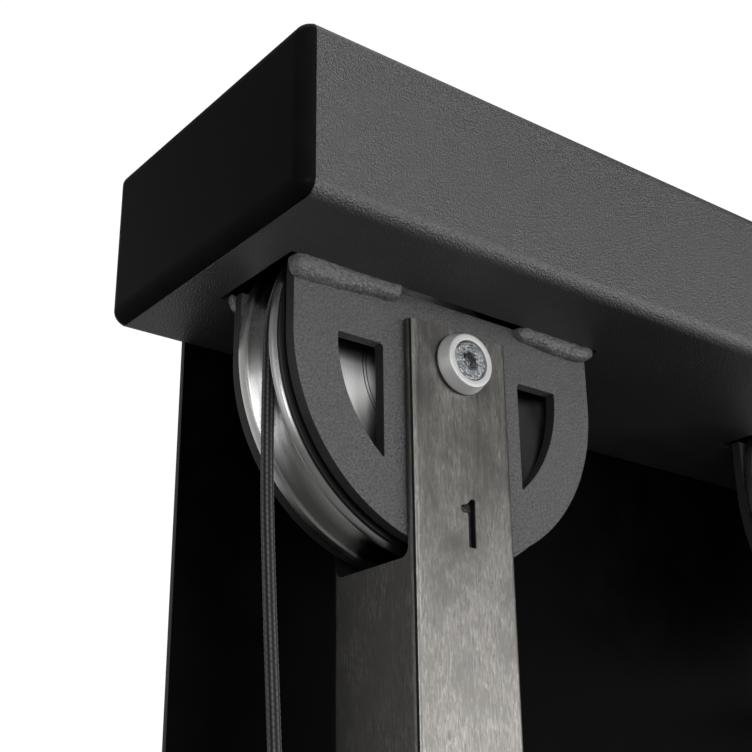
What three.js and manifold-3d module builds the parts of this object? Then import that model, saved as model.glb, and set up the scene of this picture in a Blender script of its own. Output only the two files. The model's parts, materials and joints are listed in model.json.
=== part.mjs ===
// Wall pulley weight stack: a wall unit with a slotted guide rail, a travelling
// swivel-pulley carriage with a hand grip, and a pin-selected stack of weights
// on a 2:1 rope drive.
// Millimetres. X to the right, +Y into the wall, Z up. The origin lies on the
// wall plane, straight behind the axle of the top sheave.

import * as THREE from 'three';
import { mergeVertices } from 'three/addons/utils/BufferGeometryUtils.js';
import Module from 'manifold-3d';

const wasm = await Module();
wasm.setup();

// ---------------------------------------------------------------- dimensions
const ROPE_Y = -75;          // the plane of the rope and of the sheaves in it
const ROPE_R = 2.4;
const GAP = 0.3;

const BEAM_X = [-96.5, 545];
const BEAM_Z = [25.5, 95.5];
const BEAM_DEPTH = 140;
const BEAM_WALL = 4;
const BEAM_R = 6;
const CAP_PLATE = 5.2;       // how far an end cap stands off the tube end
const SLOT_HALF = 79.1;      // cut-out in the underside of the beam
const SLOT_Y = [-100, -50];

const SHEAVE2_X = 300;       // transfer sheave
const CHEEK_R = 75;
const CHEEK_T = 5;
const CHEEK_TOP = 25.8;
const CHEEK_FRONT_Y = -95.5;
const CHEEK_REAR_Y = -59.5;
const WINDOW_R = 55;
const WINDOW_X = 34.4;
const WINDOW_Z = 1.9;

const SHEAVE_R = 77.5;
const PITCH = 71.8;
const SHEAVE_Y = [-88, -62];

const RAIL = 50;
const RAIL_WALL = 2.5;
const RAIL_Y = [-100, -50];
const RAIL_TOP = 14.2;
const RAIL_BOTTOM = -1889.7;
const RAIL_WINDOW_Z = -78.4;
const STOP_PITCH = 150;
const STOP_Z = -190;         // the first stop's index hole
const STOPS = 10;
const NUMERAL_Z = -62.8;

const BASE_Z = [-1960, -1890];
const SMALL_PITCH = 25;
const SMALL_R = 29;
const RETURN_PITCH = 30;
const RETURN_R = 35;
const RETURN_C = [461.8, -18];
const BASE_LEFT_C = [-33, -1925];
const BASE_RIGHT_C = [466.8, -1925];

const STACK_X = 401.8;
const PLATE = { w: 160, d: 100, t: 25, gap: 0.4 };
const STACK_Z = -1869.6;
const ROD_DX = 62;
const ROD_R = 8;
const STEM_R = 11;
const LIFT_C = [STACK_X, -1625];

const SWIVEL = [-58, -92];   // vertical swivel axis of the handle pulley
const HANDLE_PULLEY = [-117, -490];
const CARRIAGE_Z = [-545, -432];
const EYE_Y = -196;
const HANDLE_Z = -515;
const GRIP_Z = -680;

// ------------------------------------------------------------------- helpers
const V2 = (x, y) => new THREE.Vector2(x, y);
const V3 = (x, y, z) => new THREE.Vector3(x, y, z);

// a three.js geometry as a solid with shared vertices
function solid(geometry) {
  const bare = geometry.clone();
  for (const name of Object.keys(bare.attributes)) {
    if (name !== 'position') bare.deleteAttribute(name);
  }
  const merged = mergeVertices(bare, 1e-4);
  const pos = merged.attributes.position;
  const index = merged.index.array;
  const tris = [];
  let volume = 0;
  const a = V3(), b = V3(), c = V3();
  for (let i = 0; i < index.length; i += 3) {
    const [p, q, r] = [index[i], index[i + 1], index[i + 2]];
    if (p === q || q === r || r === p) continue;
    tris.push(p, q, r);
    a.fromBufferAttribute(pos, p);
    b.fromBufferAttribute(pos, q);
    c.fromBufferAttribute(pos, r);
    volume += a.dot(b.cross(c));
  }
  if (volume < 0) {
    for (let i = 0; i < tris.length; i += 3) [tris[i + 1], tris[i + 2]] = [tris[i + 2], tris[i + 1]];
  }
  return new wasm.Manifold(new wasm.Mesh({
    numProp: 3,
    vertProperties: new Float32Array(pos.array),
    triVerts: new Uint32Array(tris),
  }));
}

function geometryOf(shape) {
  const mesh = shape.getMesh();
  const g = new THREE.BufferGeometry();
  g.setAttribute('position', new THREE.BufferAttribute(new Float32Array(mesh.vertProperties), 3));
  g.setIndex(new THREE.BufferAttribute(new Uint32Array(mesh.triVerts), 1));
  g.computeVertexNormals();
  return g;
}

const join = (...parts) => parts.reduce((s, p) => s.add(p));
const cut = (body, ...tools) => tools.reduce((s, t) => s.subtract(t), body);

const arc = (cx, cy, r, from, to, n) => Array.from({ length: n + 1 }, (_, i) => {
  const t = THREE.MathUtils.degToRad(from + (to - from) * i / n);
  return V2(cx + r * Math.cos(t), cy + r * Math.sin(t));
});
const circle = (cx, cy, r, n, turn = 0) => arc(cx, cy, r, turn, turn + 360, n).slice(0, n);
const rect = (x0, x1, y0, y1) => [V2(x0, y0), V2(x1, y0), V2(x1, y1), V2(x0, y1)];
const roundRect = (x0, x1, y0, y1, r, n = 3) => [
  ...arc(x1 - r, y1 - r, r, 0, 90, n), ...arc(x0 + r, y1 - r, r, 90, 180, n),
  ...arc(x0 + r, y0 + r, r, 180, 270, n), ...arc(x1 - r, y0 + r, r, 270, 360, n),
];

function prism(outline, depth, holes) {
  const shape = new THREE.Shape(outline);
  shape.holes = holes.map((h) => new THREE.Path(h));
  return new THREE.ExtrudeGeometry(shape, { depth, bevelEnabled: false, curveSegments: 1 });
}
const YZX = new THREE.Matrix4().makeBasis(V3(0, 1, 0), V3(0, 0, 1), V3(1, 0, 0));
// outlines are (y, z), (x, z) and (x, y)
const alongX = (outline, x0, x1, holes = []) =>
  solid(prism(outline, x1 - x0, holes).applyMatrix4(YZX).translate(x0, 0, 0));
const alongY = (outline, y0, y1, holes = []) =>
  solid(prism(outline, y1 - y0, holes).rotateX(Math.PI / 2).translate(0, y1, 0));
const alongZ = (outline, z0, z1, holes = []) =>
  solid(prism(outline, z1 - z0, holes).translate(0, 0, z0));
const box = (x0, x1, y0, y1, z0, z1) => solid(
  new THREE.BoxGeometry(x1 - x0, y1 - y0, z1 - z0)
    .translate((x0 + x1) / 2, (y0 + y1) / 2, (z0 + z1) / 2));

// turned parts: a profile of [radius, axial] pairs
const turned = (profile, n) =>
  new THREE.LatheGeometry(profile.map(([r, a]) => V2(r, a)), n);
const closed = (profile) => [...profile, profile[0]];
const turnedY = (profile, n) => solid(turned(profile, n));
const turnedX = (profile, n) => solid(turned(profile, n).rotateZ(-Math.PI / 2));
const turnedZ = (profile, n) => solid(turned(profile, n).rotateX(Math.PI / 2));

class Route extends THREE.Curve {
  constructor(points) { super(); this.points = points; }
  getUtoTmapping(u) { return u; }
  getPoint(t, out = V3()) {
    const n = this.points.length - 1;
    const s = Math.min(n - 1e-9, t * n);
    const i = Math.floor(s);
    return out.copy(this.points[i]).lerp(this.points[i + 1], s - i);
  }
  getTangent(t, out = V3()) {
    const n = this.points.length - 1;
    const i = Math.round(t * n);
    return out.copy(this.points[Math.min(n, i + 1)]).sub(this.points[Math.max(0, i - 1)]).normalize();
  }
}
const ropeAlong = (points) => solid(new THREE.ExtrudeGeometry(
  new THREE.Shape(circle(0, 0, ROPE_R, 8)),
  { steps: points.length - 1, extrudePath: new Route(points), bevelEnabled: false, curveSegments: 1 }));
const bendXZ = (cx, cz, r, from, to, n) =>
  arc(cx, cz, r, from, to, n).map((p) => V3(p.x, ROPE_Y, p.y));

// ----------------------------------------------------------- scene structure
const unit = new THREE.Group();
unit.name = 'wall_pulley_weight_stack';
const groups = {};
for (const name of ['head', 'rail', 'back', 'base', 'stack', 'carriage', 'handle', 'ropes']) {
  groups[name] = new THREE.Group();
  groups[name].name = name + '_group';
  unit.add(groups[name]);
}
function place(group, name, shape, look, at = [0, 0, 0]) {
  const mesh = new THREE.Mesh(geometryOf(shape),
    new THREE.MeshStandardMaterial({ color: look[0], roughness: look[1], metalness: look[2] }));
  mesh.name = name;
  mesh.position.set(...at);
  groups[group].add(mesh);
  return mesh;
}
const POWDER = [0x4e4e50, 0.55, 0.2];
const POWDER_LIGHT = [0x6a6a6c, 0.5, 0.2];
const BLACK_PLASTIC = [0x101011, 0.5, 0];
const BRUSHED = [0xa8a59f, 0.38, 1];
const POLISHED = [0xc9cacb, 0.18, 1];
const ZINC = [0x9a9b9c, 0.35, 1];
const BLACK_OXIDE = [0x26272a, 0.42, 0.9];
const PANEL = [0x0c0c0d, 0.55, 0];
const ROPE = [0x26262a, 0.8, 0];
const RUBBER = [0x161616, 0.85, 0];
const PLATE_BLACK = [0x1e1f21, 0.6, 0.4];

// ----------------------------------------------------------------- top beam
const beam = cut(
  alongX(roundRect(-BEAM_DEPTH, 0, ...BEAM_Z, BEAM_R), ...BEAM_X,
    [roundRect(-BEAM_DEPTH + BEAM_WALL, -BEAM_WALL, BEAM_Z[0] + BEAM_WALL, BEAM_Z[1] - BEAM_WALL, 2, 1)]),
  box(-SLOT_HALF, SLOT_HALF, ...SLOT_Y, 20, 31),
  box(SHEAVE2_X - SLOT_HALF, SHEAVE2_X + SLOT_HALF, ...SLOT_Y, 20, 31),
  alongY(circle(-60, 60.5, 4.5, 12), -6, 1),
  alongY(circle(510, 60.5, 4.5, 12), -6, 1));
place('head', 'top_beam', beam, POWDER);

// an end cap: a domed plate that covers the tube end, and a plug inside it
function endCap() {
  const outline = new THREE.Shape(roundRect(-BEAM_DEPTH, 0, ...BEAM_Z, BEAM_R));
  const dome = solid(new THREE.ExtrudeGeometry(outline, {
    depth: 0.6, bevelEnabled: true, bevelThickness: CAP_PLATE - 0.3, bevelSize: 5.4,
    bevelOffset: -5.4, bevelSegments: 3, curveSegments: 1,
  }).applyMatrix4(YZX).translate(-0.3, 0, 0));
  const plate = cut(dome, box(0, 10, -150, 10, 10, 110));
  const plug = alongX(roundRect(-BEAM_DEPTH + BEAM_WALL + GAP, -BEAM_WALL - GAP,
    BEAM_Z[0] + BEAM_WALL + GAP, BEAM_Z[1] - BEAM_WALL - GAP, 2, 1), -1, 12);
  return join(plate, plug);
}
const cap = endCap();
place('head', 'end_cap_left', cap, BLACK_PLASTIC, [BEAM_X[0] - GAP, 0, 0]);
place('head', 'end_cap_right', cap.mirror([1, 0, 0]), BLACK_PLASTIC, [BEAM_X[1] + GAP, 0, 0]);

// ------------------------------------------------- cheeks, sheaves and axles
function cheek() {
  const outline = [V2(CHEEK_R, CHEEK_TOP), V2(-CHEEK_R, CHEEK_TOP), ...arc(0, 0, CHEEK_R, 180, 360, 30)];
  const a = THREE.MathUtils.radToDeg(Math.asin(WINDOW_Z / WINDOW_R));
  const b = THREE.MathUtils.radToDeg(Math.acos(WINDOW_X / WINDOW_R));
  const right = [...arc(0, 0, WINDOW_R, -b, a, 8), V2(WINDOW_X, WINDOW_Z)];
  const left = right.map((p) => V2(-p.x, p.y)).reverse();
  return alongY(outline, 0, CHEEK_T, [right, left, circle(0, 0, 5.3, 16)]);
}
const cheekPlate = cheek();
const rearWeld = alongX([V2(4.8, 12), V2(4.8, 21), V2(8.6, 24), V2(9.2, 19), V2(7, 13)], -78, -70);
place('head', 'front_cheek_1', cheekPlate, POWDER_LIGHT, [0, CHEEK_FRONT_Y, 0]);
place('head', 'rear_cheek_1', join(cheekPlate, rearWeld), POWDER_LIGHT, [0, CHEEK_REAR_Y, 0]);
place('head', 'front_cheek_2', cheekPlate, POWDER_LIGHT, [SHEAVE2_X, CHEEK_FRONT_Y, 0]);
place('head', 'rear_cheek_2', cheekPlate, POWDER_LIGHT, [SHEAVE2_X, CHEEK_REAR_Y, 0]);

// weld beads that fill the gap between the front cheek and the beam's cut-out
const bead = (x0, x1) => alongX(
  [V2(-95.8, 17.5), V2(-95.8, 25.2), V2(-101, 25.2), V2(-100.6, 21.3), V2(-98.6, 18.2)], x0, x1);
place('head', 'weld_front_left', bead(-76, -25), POWDER_LIGHT);
place('head', 'weld_front_right', bead(31, 79), POWDER_LIGHT);

// grooved sheave with a dished web, about Y, centred on y = 0
const groove = (half, rim, root) => [
  [rim, -half + 4.8], [root + 1.6, -3.2], [root, -1.2], [root, 1.2], [root + 1.6, 3.2], [rim, half - 4.8],
];
function bigSheave(n) {
  const h = 13;
  return turnedY(closed([
    [13.1, -h], [18, -h], [18, -6], [46, -6], [65, -h], [76.5, -h], [SHEAVE_R, -h + 1],
    ...groove(h, SHEAVE_R, PITCH - ROPE_R - 0.4),
    [SHEAVE_R, h - 1], [76.5, h], [65, h], [46, 6], [18, 6], [18, h], [13.1, h],
  ]), n);
}
const bearing = turnedY(closed([[5.6, -12.7], [12.7, -12.7], [12.7, 12.7], [5.6, 12.7]]), 20);
place('head', 'top_sheave', bigSheave(36), POLISHED, [0, ROPE_Y, 0]);
place('head', 'sheave_bearing', bearing, ZINC, [0, ROPE_Y, 0]);
const transferSheave = turnedY(closed([
  [5.6, -13], [18, -13], [18, -6], [46, -6], [65, -13], [SHEAVE_R, -13], [SHEAVE_R, -8.2],
  [PITCH - ROPE_R + 1.2, -3.2], [PITCH - ROPE_R - 0.4, 0], [PITCH - ROPE_R + 1.2, 3.2],
  [SHEAVE_R, 8.2], [SHEAVE_R, 13], [65, 13], [46, 6], [18, 6], [18, 13], [5.6, 13],
]), 28);
place('head', 'transfer_sheave', transferSheave, POLISHED, [SHEAVE2_X, ROPE_Y, 0]);

const smallSheave = (pitch, rim, half, hub, n) => turnedY(closed([
  [5.4, -hub], [9, -hub], [9, -half], [rim, -half], [rim, -half + 2.5],
  [pitch - ROPE_R + 1.2, -3.2], [pitch - ROPE_R - 0.4, 0], [pitch - ROPE_R + 1.2, 3.2],
  [rim, half - 2.5], [rim, half], [9, half], [9, hub], [5.4, hub],
]), n);

// socket-head screw about Y: head from 0 to headT, shank on to length
function capScrew(headR, headT, length) {
  const body = turnedY([[0, 0], [headR, 0], [headR, headT], [5, headT], [5, length], [0, length]], 20);
  return cut(body, alongY(circle(0, 0, 4.6, 6, 30), -1, 3.6));
}
const hexNut = (y0, y1) => alongY(circle(0, 0, 9.8, 6), y0, y1, [circle(0, 0, 5.4, 16)]);
place('head', 'axle_screw_1', capScrew(8, 7, 65.3), BLACK_OXIDE, [0, -105.3, 0]);
place('head', 'axle_collar', turnedY(closed([
  [8.4, -106.5], [11.2, -106.5], [12.25, -105.45], [12.25, -100.3], [9.6, -100.3],
  [9.6, -95.8], [5.4, -95.8], [5.4, -98], [8.4, -98],
]), 20), BRUSHED);
place('head', 'axle_nut_1', hexNut(-49.7, -41.7), ZINC);
const ring = (r0, r1, y0, y1) => turnedY(closed([[r0, y0], [r1, y0], [r1, y1], [r0, y1]]), 16);
place('head', 'spacer_front', ring(5.4, 9, -90.2, -88.3), ZINC);
place('head', 'spacer_rear', ring(5.4, 9, -61.7, -59.8), ZINC);
place('head', 'axle_screw_2', capScrew(8, 7, 56.6), BLACK_OXIDE, [SHEAVE2_X, -102.8, 0]);
place('head', 'axle_nut_2', hexNut(-54.2, -46.2), ZINC, [SHEAVE2_X, 0, 0]);

// return sheave, hung under the beam on its own bracket
const [rx, rz] = RETURN_C;
const ear = [V2(rx - 20, 20.6), V2(rx - 20, rz), ...arc(rx, rz, 14, 200, 340, 6), V2(rx + 20, rz), V2(rx + 20, 20.6)];
const returnBracket = join(
  box(rx - 31.8, rx + 32.2, -92, -58, 20.5, 25.2),
  alongY(ear, -92, -88, [circle(rx, rz, 5.4, 12)]),
  alongY(ear, -62, -58, [circle(rx, rz, 5.4, 12)]));
place('head', 'return_bracket', returnBracket, POWDER_LIGHT);
place('head', 'return_axle', turnedY(
  [[0, -97], [8, -97], [8, -92.3], [5, -92.3], [5, -54], [0, -54]], 16), ZINC, [rx, 0, rz]);
place('head', 'return_sheave', smallSheave(RETURN_PITCH, RETURN_R, 8, 12, 18), POLISHED, [rx, ROPE_Y, rz]);

// ---------------------------------------------------------------- guide rail
// stencil numerals, outlines about their own centre, 19.5 high
const stroke = (x0, x1, z0, z1) => rect(x0, x1, z0, z1);
const bar = 3.4, H = 9.7, W = 5.6;
const SEG = {
  top: stroke(-W, W, H - bar, H), mid: stroke(-W, W, -bar / 2, bar / 2), bottom: stroke(-W, W, -H, -H + bar),
  ul: stroke(-W, -W + bar, 0, H), ur: stroke(W - bar, W, 0, H),
  ll: stroke(-W, -W + bar, -H, 0), lr: stroke(W - bar, W, -H, 0),
};
const DIGITS = {
  0: ['top', 'bottom', 'ul', 'ur', 'll', 'lr'], 2: ['top', 'ur', 'mid', 'll', 'bottom'],
  3: ['top', 'ur', 'mid', 'lr', 'bottom'], 4: ['ul', 'mid', 'ur', 'lr'],
  5: ['top', 'ul', 'mid', 'lr', 'bottom'], 6: ['top', 'ul', 'mid', 'll', 'lr', 'bottom'],
  7: ['top', 'ur', 'lr'], 8: ['top', 'mid', 'bottom', 'ul', 'ur', 'll', 'lr'],
  9: ['top', 'ul', 'ur', 'mid', 'lr', 'bottom'],
};
// bridges of metal that hold the islands of closed figures
const BRIDGES = { 0: [[-1, 1, -12, 12]], 6: [[-8, -1.8, -5.6, -3.8]], 8: [[-1, 1, -12, 12]], 9: [[1.8, 8, 3.8, 5.6]] };
const ONE = [V2(1.6, 9.1), V2(3, 9.3), V2(3.6, 8.7), V2(3.4, -9.1), V2(0.1, -9.1), V2(0.1, 3.6),
  V2(-0.2, 3.9), V2(-2.8, 3.9), V2(-3.3, 4.6), V2(-3.3, 5.7), V2(-2.9, 6.2), V2(-0.9, 6.8), V2(0.2, 7.5)];
function figure(digit, x, z) {
  const depth = [-101, -96.9];
  if (digit === 1) return alongY(ONE.map((p) => V2(p.x + x, p.y + z)), ...depth);
  const cell = (o) => alongY(o.map((p) => V2(p.x + x, p.y + z)), ...depth);
  const body = join(...DIGITS[digit].map((s) => cell(SEG[s])));
  return cut(body, ...(BRIDGES[digit] ?? []).map((b) => box(x + b[0], x + b[1], -102, -96, z + b[2], z + b[3])));
}
const railCuts = [
  box(-30, 30, -96.6, -52.5, RAIL_WINDOW_Z, 20),
  alongY(circle(0, 0, 10, 20), -101, -96),
  alongY(circle(0, 0, 5.5, 12), -54, -49),
];
for (let i = 0; i < STOPS; i++) {
  const z = NUMERAL_Z - i * STOP_PITCH;
  if (i < 9) railCuts.push(figure(i + 1, i === 0 ? 1.3 : 0, z));
  else railCuts.push(figure(1, -8.5, z), figure(0, 6.5, z));
  railCuts.push(alongX(circle(ROPE_Y, STOP_Z - i * STOP_PITCH, 5, 10, 18), 20, 26));
}
const rail = cut(
  alongZ(roundRect(-RAIL / 2, RAIL / 2, ...RAIL_Y, 3, 2), RAIL_BOTTOM, RAIL_TOP,
    [roundRect(-RAIL / 2 + RAIL_WALL, RAIL / 2 - RAIL_WALL, RAIL_Y[0] + RAIL_WALL, RAIL_Y[1] - RAIL_WALL, 0.6, 1)]),
  ...railCuts);
place('rail', 'guide_rail', rail, BRUSHED);

// ------------------------------------------------------ back panel, base, rods
place('back', 'back_panel', box(-67.7, 514, -3, 0, RAIL_BOTTOM, 25.2), PANEL);
place('back', 'rod_head_plate', join(
  alongZ([V2(325, -92), V2(362, -92), V2(362, -58), V2(442, -58), V2(442, -92), V2(478, -92), V2(478, -3.3), V2(325, -3.3)],
    -100, -95, [circle(STACK_X - ROD_DX, ROPE_Y, 8.4, 12, 15), circle(STACK_X + ROD_DX, ROPE_Y, 8.4, 12, 15)]),
  box(325, 478, -8, -3.3, -130, -99)), POWDER_LIGHT);

const base = cut(
  box(BEAM_X[0], BEAM_X[1], -BEAM_DEPTH, 0, ...BASE_Z),
  box(BEAM_X[0] + 4, BEAM_X[1] - 4, -BEAM_DEPTH + 4, -4, BASE_Z[0] + 4, BASE_Z[1] - 4),
  box(-66, -50, -83, -67, -1896, -1880),
  box(483.8, 499.8, -83, -67, -1896, -1880),
  ...[BASE_LEFT_C, BASE_RIGHT_C].flatMap(([x, z]) => [alongY(circle(x, z, 5.4, 12), -145, 5)]),
  alongY(circle(60, -1925, 4.5, 12), -6, 1),
  alongY(circle(400, -1925, 4.5, 12), -6, 1));
place('base', 'base_beam', base, POWDER);
const baseAxle = turnedY([[0, -144], [9, -144], [9, -140.3], [5, -140.3], [5, -91], [7, -91],
  [7, -87.3], [5, -87.3], [5, -0.6], [0, -0.6]], 12);
const baseSheave = smallSheave(SMALL_PITCH, SMALL_R, 8, 12, 18);
[['left', BASE_LEFT_C], ['right', BASE_RIGHT_C]].forEach(([side, [x, z]]) => {
  place('base', `base_axle_${side}`, baseAxle, ZINC, [x, 0, z]);
  place('base', `base_sheave_${side}`, baseSheave, POLISHED, [x, ROPE_Y, z]);
});

// --------------------------------------------------------------- weight stack
const rod = alongZ(circle(0, 0, ROD_R, 16), RAIL_BOTTOM, -85);
place('stack', 'guide_rod_left', rod, POLISHED, [STACK_X - ROD_DX, ROPE_Y, 0]);
place('stack', 'guide_rod_right', rod, POLISHED, [STACK_X + ROD_DX, ROPE_Y, 0]);
const bumper = alongZ(roundRect(-82, 82, -20, 20, 8, 2), RAIL_BOTTOM, RAIL_BOTTOM + 19.7,
  [circle(-ROD_DX, 0, 8.5, 12, 15), circle(ROD_DX, 0, 8.5, 12, 15)]);
place('stack', 'stack_bumper', bumper, RUBBER, [STACK_X, ROPE_Y, 0]);

const plateShape = cut(
  alongZ(roundRect(-PLATE.w / 2, PLATE.w / 2, -PLATE.d / 2, PLATE.d / 2, 5, 1), 0, PLATE.t,
    [circle(0, 0, 12, 12, 15), circle(-ROD_DX, 0, 8.8, 10), circle(ROD_DX, 0, 8.8, 10)]),
  alongY(circle(0, PLATE.t / 2, 4.7, 10), -PLATE.d / 2 - 1, -8));
const plateZ = (k) => STACK_Z + k * (PLATE.t + PLATE.gap);
for (let k = 0; k < 6; k++) {
  place('stack', `weight_plate_${6 - k}`, plateShape, PLATE_BLACK, [STACK_X, ROPE_Y, plateZ(k)]);
}
place('stack', 'stack_top_plate', plateShape, PLATE_BLACK, [STACK_X, ROPE_Y, plateZ(6)]);
const topZ = plateZ(6) + PLATE.t;
const stem = cut(
  alongZ(circle(0, 0, STEM_R, 14), STACK_Z + 3, topZ - GAP),
  ...[0, 1, 2, 3, 4, 5].map((k) => alongY(circle(0, plateZ(k) + PLATE.t / 2, 4.6, 10), -15, 15)));
place('stack', 'selector_stem', stem, ZINC, [STACK_X, ROPE_Y, 0]);

const [lx, lz] = LIFT_C;
const yokeEar = [V2(lx - 15, -1680.1), V2(lx - 15, lz), ...arc(lx, lz, 15, 180, 0, 8), V2(lx + 15, -1680.1)];
place('stack', 'lift_yoke', join(
  box(lx - 22.8, lx + 22.8, -93, -57, topZ + GAP, -1680),
  alongY(yokeEar, -92, -88), alongY(yokeEar, -62, -58),
  alongY(circle(lx, lz, 5, 12), -95, -55)), POWDER_LIGHT);
place('stack', 'lift_pulley', smallSheave(RETURN_PITCH, RETURN_R, 8, 12, 18), POLISHED, [lx, ROPE_Y, lz]);

const pinZ = plateZ(3) + PLATE.t / 2;
place('stack', 'selector_pin', turnedY([[0, -166], [9, -166], [10, -163], [10, -151], [8, -149], [4, -149],
  [4, -65], [3, -63.6], [0, -63.6]], 14), [0xa01818, 0.4, 0], [STACK_X, 0, pinZ]);

// ------------------------------------------------------------------ carriage
const [sx, sy] = SWIVEL;
const lugOutline = [V2(-30, sy - 14), V2(-30, sy + 14), ...arc(sx, sy, 14, 90, 270, 8)];
const lowerLug = join(
  alongZ(lugOutline, -538, -530.3, [circle(sx, sy, 6.4, 12)]),
  cut(box(-66, -30, sy + 10, -66, -538, -530.3), alongZ(circle(sx, sy, 13.9, 16), -540, -528)));
const sleeve = join(
  cut(
    join(
      alongZ(roundRect(-32, 32, -107, -43, 5, 2), ...CARRIAGE_Z),
      alongZ(lugOutline, -446.7, -439, [circle(sx, sy, 8.4, 16)]),
      lowerLug,
      alongZ(circle(sx, ROPE_Y, 7, 12), -560, -537),
      alongX(circle(ROPE_Y, -490, 9, 14), 31, 38)),
    alongZ(roundRect(-25.6, 25.6, -100.6, -49.4, 3, 2), -546, -431),
    alongX(circle(ROPE_Y, -490, 3.6, 12), 20, 50)));
place('carriage', 'carriage_sleeve', sleeve, POWDER);
place('carriage', 'index_plunger', turnedX([[0, 26.2], [2.2, 26.2], [3, 27.2], [3, 47], [10, 47], [12, 49],
  [12, 64], [10, 66], [0, 66]], 16), BLACK_PLASTIC, [0, ROPE_Y, -490]);

// swivel housing: a box section open front and rear, with hollow upper trunnion
const [py, pz] = HANDLE_PULLEY;
const housing = cut(
  join(
    box(sx - 13, sx + 13, -148, -80, -530, -447),
    alongZ(circle(sx, sy, 8, 16), -447.1, -436),
    alongZ(circle(sx, sy, 6, 12), -541, -529.9)),
  box(sx - 10, sx + 10, -150, -78, -525, -452),
  alongZ(circle(sx, sy, 4.6, 16), -453, -430));
const handleAxle = alongX(circle(py, pz, 4, 12), sx - 11, sx + 11);
place('carriage', 'swivel_housing', join(housing, handleAxle), POWDER_LIGHT);
place('carriage', 'swivel_pulley', turnedX(closed([
  [4.4, -8], [28.2, -8], [28.2, -5.5], [SMALL_PITCH - ROPE_R + 1.2, -3.2],
  [SMALL_PITCH - ROPE_R - 0.4, 0], [SMALL_PITCH - ROPE_R + 1.2, 3.2], [28.2, 5.5], [28.2, 8], [4.4, 8],
]), 18), POLISHED, [sx, py, pz]);

// -------------------------------------------------------------------- handle
const ballY = -168;
const ball = solid(new THREE.SphereGeometry(13.5, 14, 9).rotateX(Math.PI / 2).translate(sx, ballY, HANDLE_Z));
place('handle', 'stopper_ball', cut(ball, alongY(circle(sx, HANDLE_Z, 3, 12), ballY - 1, -150)), RUBBER);
const eyeRing = solid(new THREE.TorusGeometry(8.5, 3, 6, 14).rotateY(Math.PI / 2).translate(sx, EYE_Y, HANDLE_Z));
place('handle', 'rope_eye', join(eyeRing, alongY(circle(sx, HANDLE_Z, 4, 10), EYE_Y + 8.5, -182)), ZINC);

const stadium = (r) => [...arc(sx, -529.2, r, 0, 180, 10), ...arc(sx, -559.2, r, 180, 360, 10)];
place('handle', 'carabiner', alongY(stadium(14.5), EYE_Y - 2.5, EYE_Y + 2.5, [stadium(9.5)]), POLISHED);

const leg = (s) => {
  const o = [V2(sx + s * 1, -577), V2(sx + s * 4, -577), V2(sx + s * 72, -664), V2(sx + s * 72, -674),
    V2(sx + s * 69, -674), V2(sx + s * 69, -665)];
  return alongY(s > 0 ? o : o.reverse(), EYE_Y - 10, EYE_Y + 10);
};
const loop = (s) => {
  const [a, b] = s > 0 ? [sx + 50, sx + 72] : [sx - 72, sx - 50];
  return alongX(circle(EYE_Y, GRIP_Z, 10, 16), a, b, [circle(EYE_Y, GRIP_Z, 6.6, 16)]);
};
const strapTop = alongX(circle(EYE_Y, -571.9, 8, 16), sx - 3, sx + 3, [circle(EYE_Y, -571.9, 5, 16)]);
place('handle', 'handle_strap', join(
  strapTop,
  alongY([V2(sx - 4, -577.2), V2(sx - 4, -583), V2(sx + 4, -583), V2(sx + 4, -577.2)], EYE_Y - 10, EYE_Y + 10),
  leg(1), leg(-1), loop(1), loop(-1)), [0x17181a, 0.85, 0]);
place('handle', 'grip_rod', turnedX([[0, -77], [9, -77], [9, -74], [6, -74], [6, 74], [9, 74], [9, 77], [0, 77]], 16),
  ZINC, [sx, EYE_Y, GRIP_Z]);
place('handle', 'grip_tube', turnedX(closed([[6.6, -46], [13.5, -46], [15, -44], [15, 44], [13.5, 46], [6.6, 46]]), 20),
  RUBBER, [sx, EYE_Y, GRIP_Z]);

// --------------------------------------------------------------------- ropes
place('ropes', 'rope_top_run', ropeAlong([
  ...bendXZ(0, 0, PITCH, 180, 90, 11), ...bendXZ(SHEAVE2_X, 0, PITCH, 90, 0, 11)]), ROPE);
place('ropes', 'rope_carriage_fall', ropeAlong([
  V3(-71.8, ROPE_Y, -GAP), V3(-71.9, ROPE_Y, -30), V3(-71.6, -75.3, -60), V3(-65, -83.4, -250),
  V3(sx - 0.1, sy + 0.1, -434), V3(sx, sy, -442), V3(sx, sy, -489.7)]), ROPE);
place('ropes', 'rope_stack_loop', ropeAlong([
  V3(371.8, ROPE_Y, -GAP), V3(371.8, ROPE_Y, -800), ...bendXZ(lx, lz, RETURN_PITCH, 180, 360, 14),
  V3(431.8, ROPE_Y, -800), V3(431.8, ROPE_Y, rz - GAP)]), ROPE);
place('ropes', 'rope_base_run', ropeAlong([
  ...bendXZ(rx, rz, RETURN_PITCH, 180, 0, 14), V3(491.8, ROPE_Y, -900),
  ...bendXZ(...BASE_RIGHT_C, SMALL_PITCH, 0, -90, 7), ...bendXZ(...BASE_LEFT_C, SMALL_PITCH, 270, 180, 7)]), ROPE);
place('ropes', 'rope_anchor_rise', ropeAlong([
  V3(sx, ROPE_Y, -1925 + GAP), V3(sx, ROPE_Y, -1200), V3(sx, ROPE_Y, -560 - GAP)]), ROPE);
place('ropes', 'rope_handle', ropeAlong([
  ...arc(py, pz, SMALL_PITCH, 0, -90, 7).map((p) => V3(sx, p.x, p.y)), V3(sx, -168 + 1.5, HANDLE_Z)]), ROPE);

export default unit;
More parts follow.
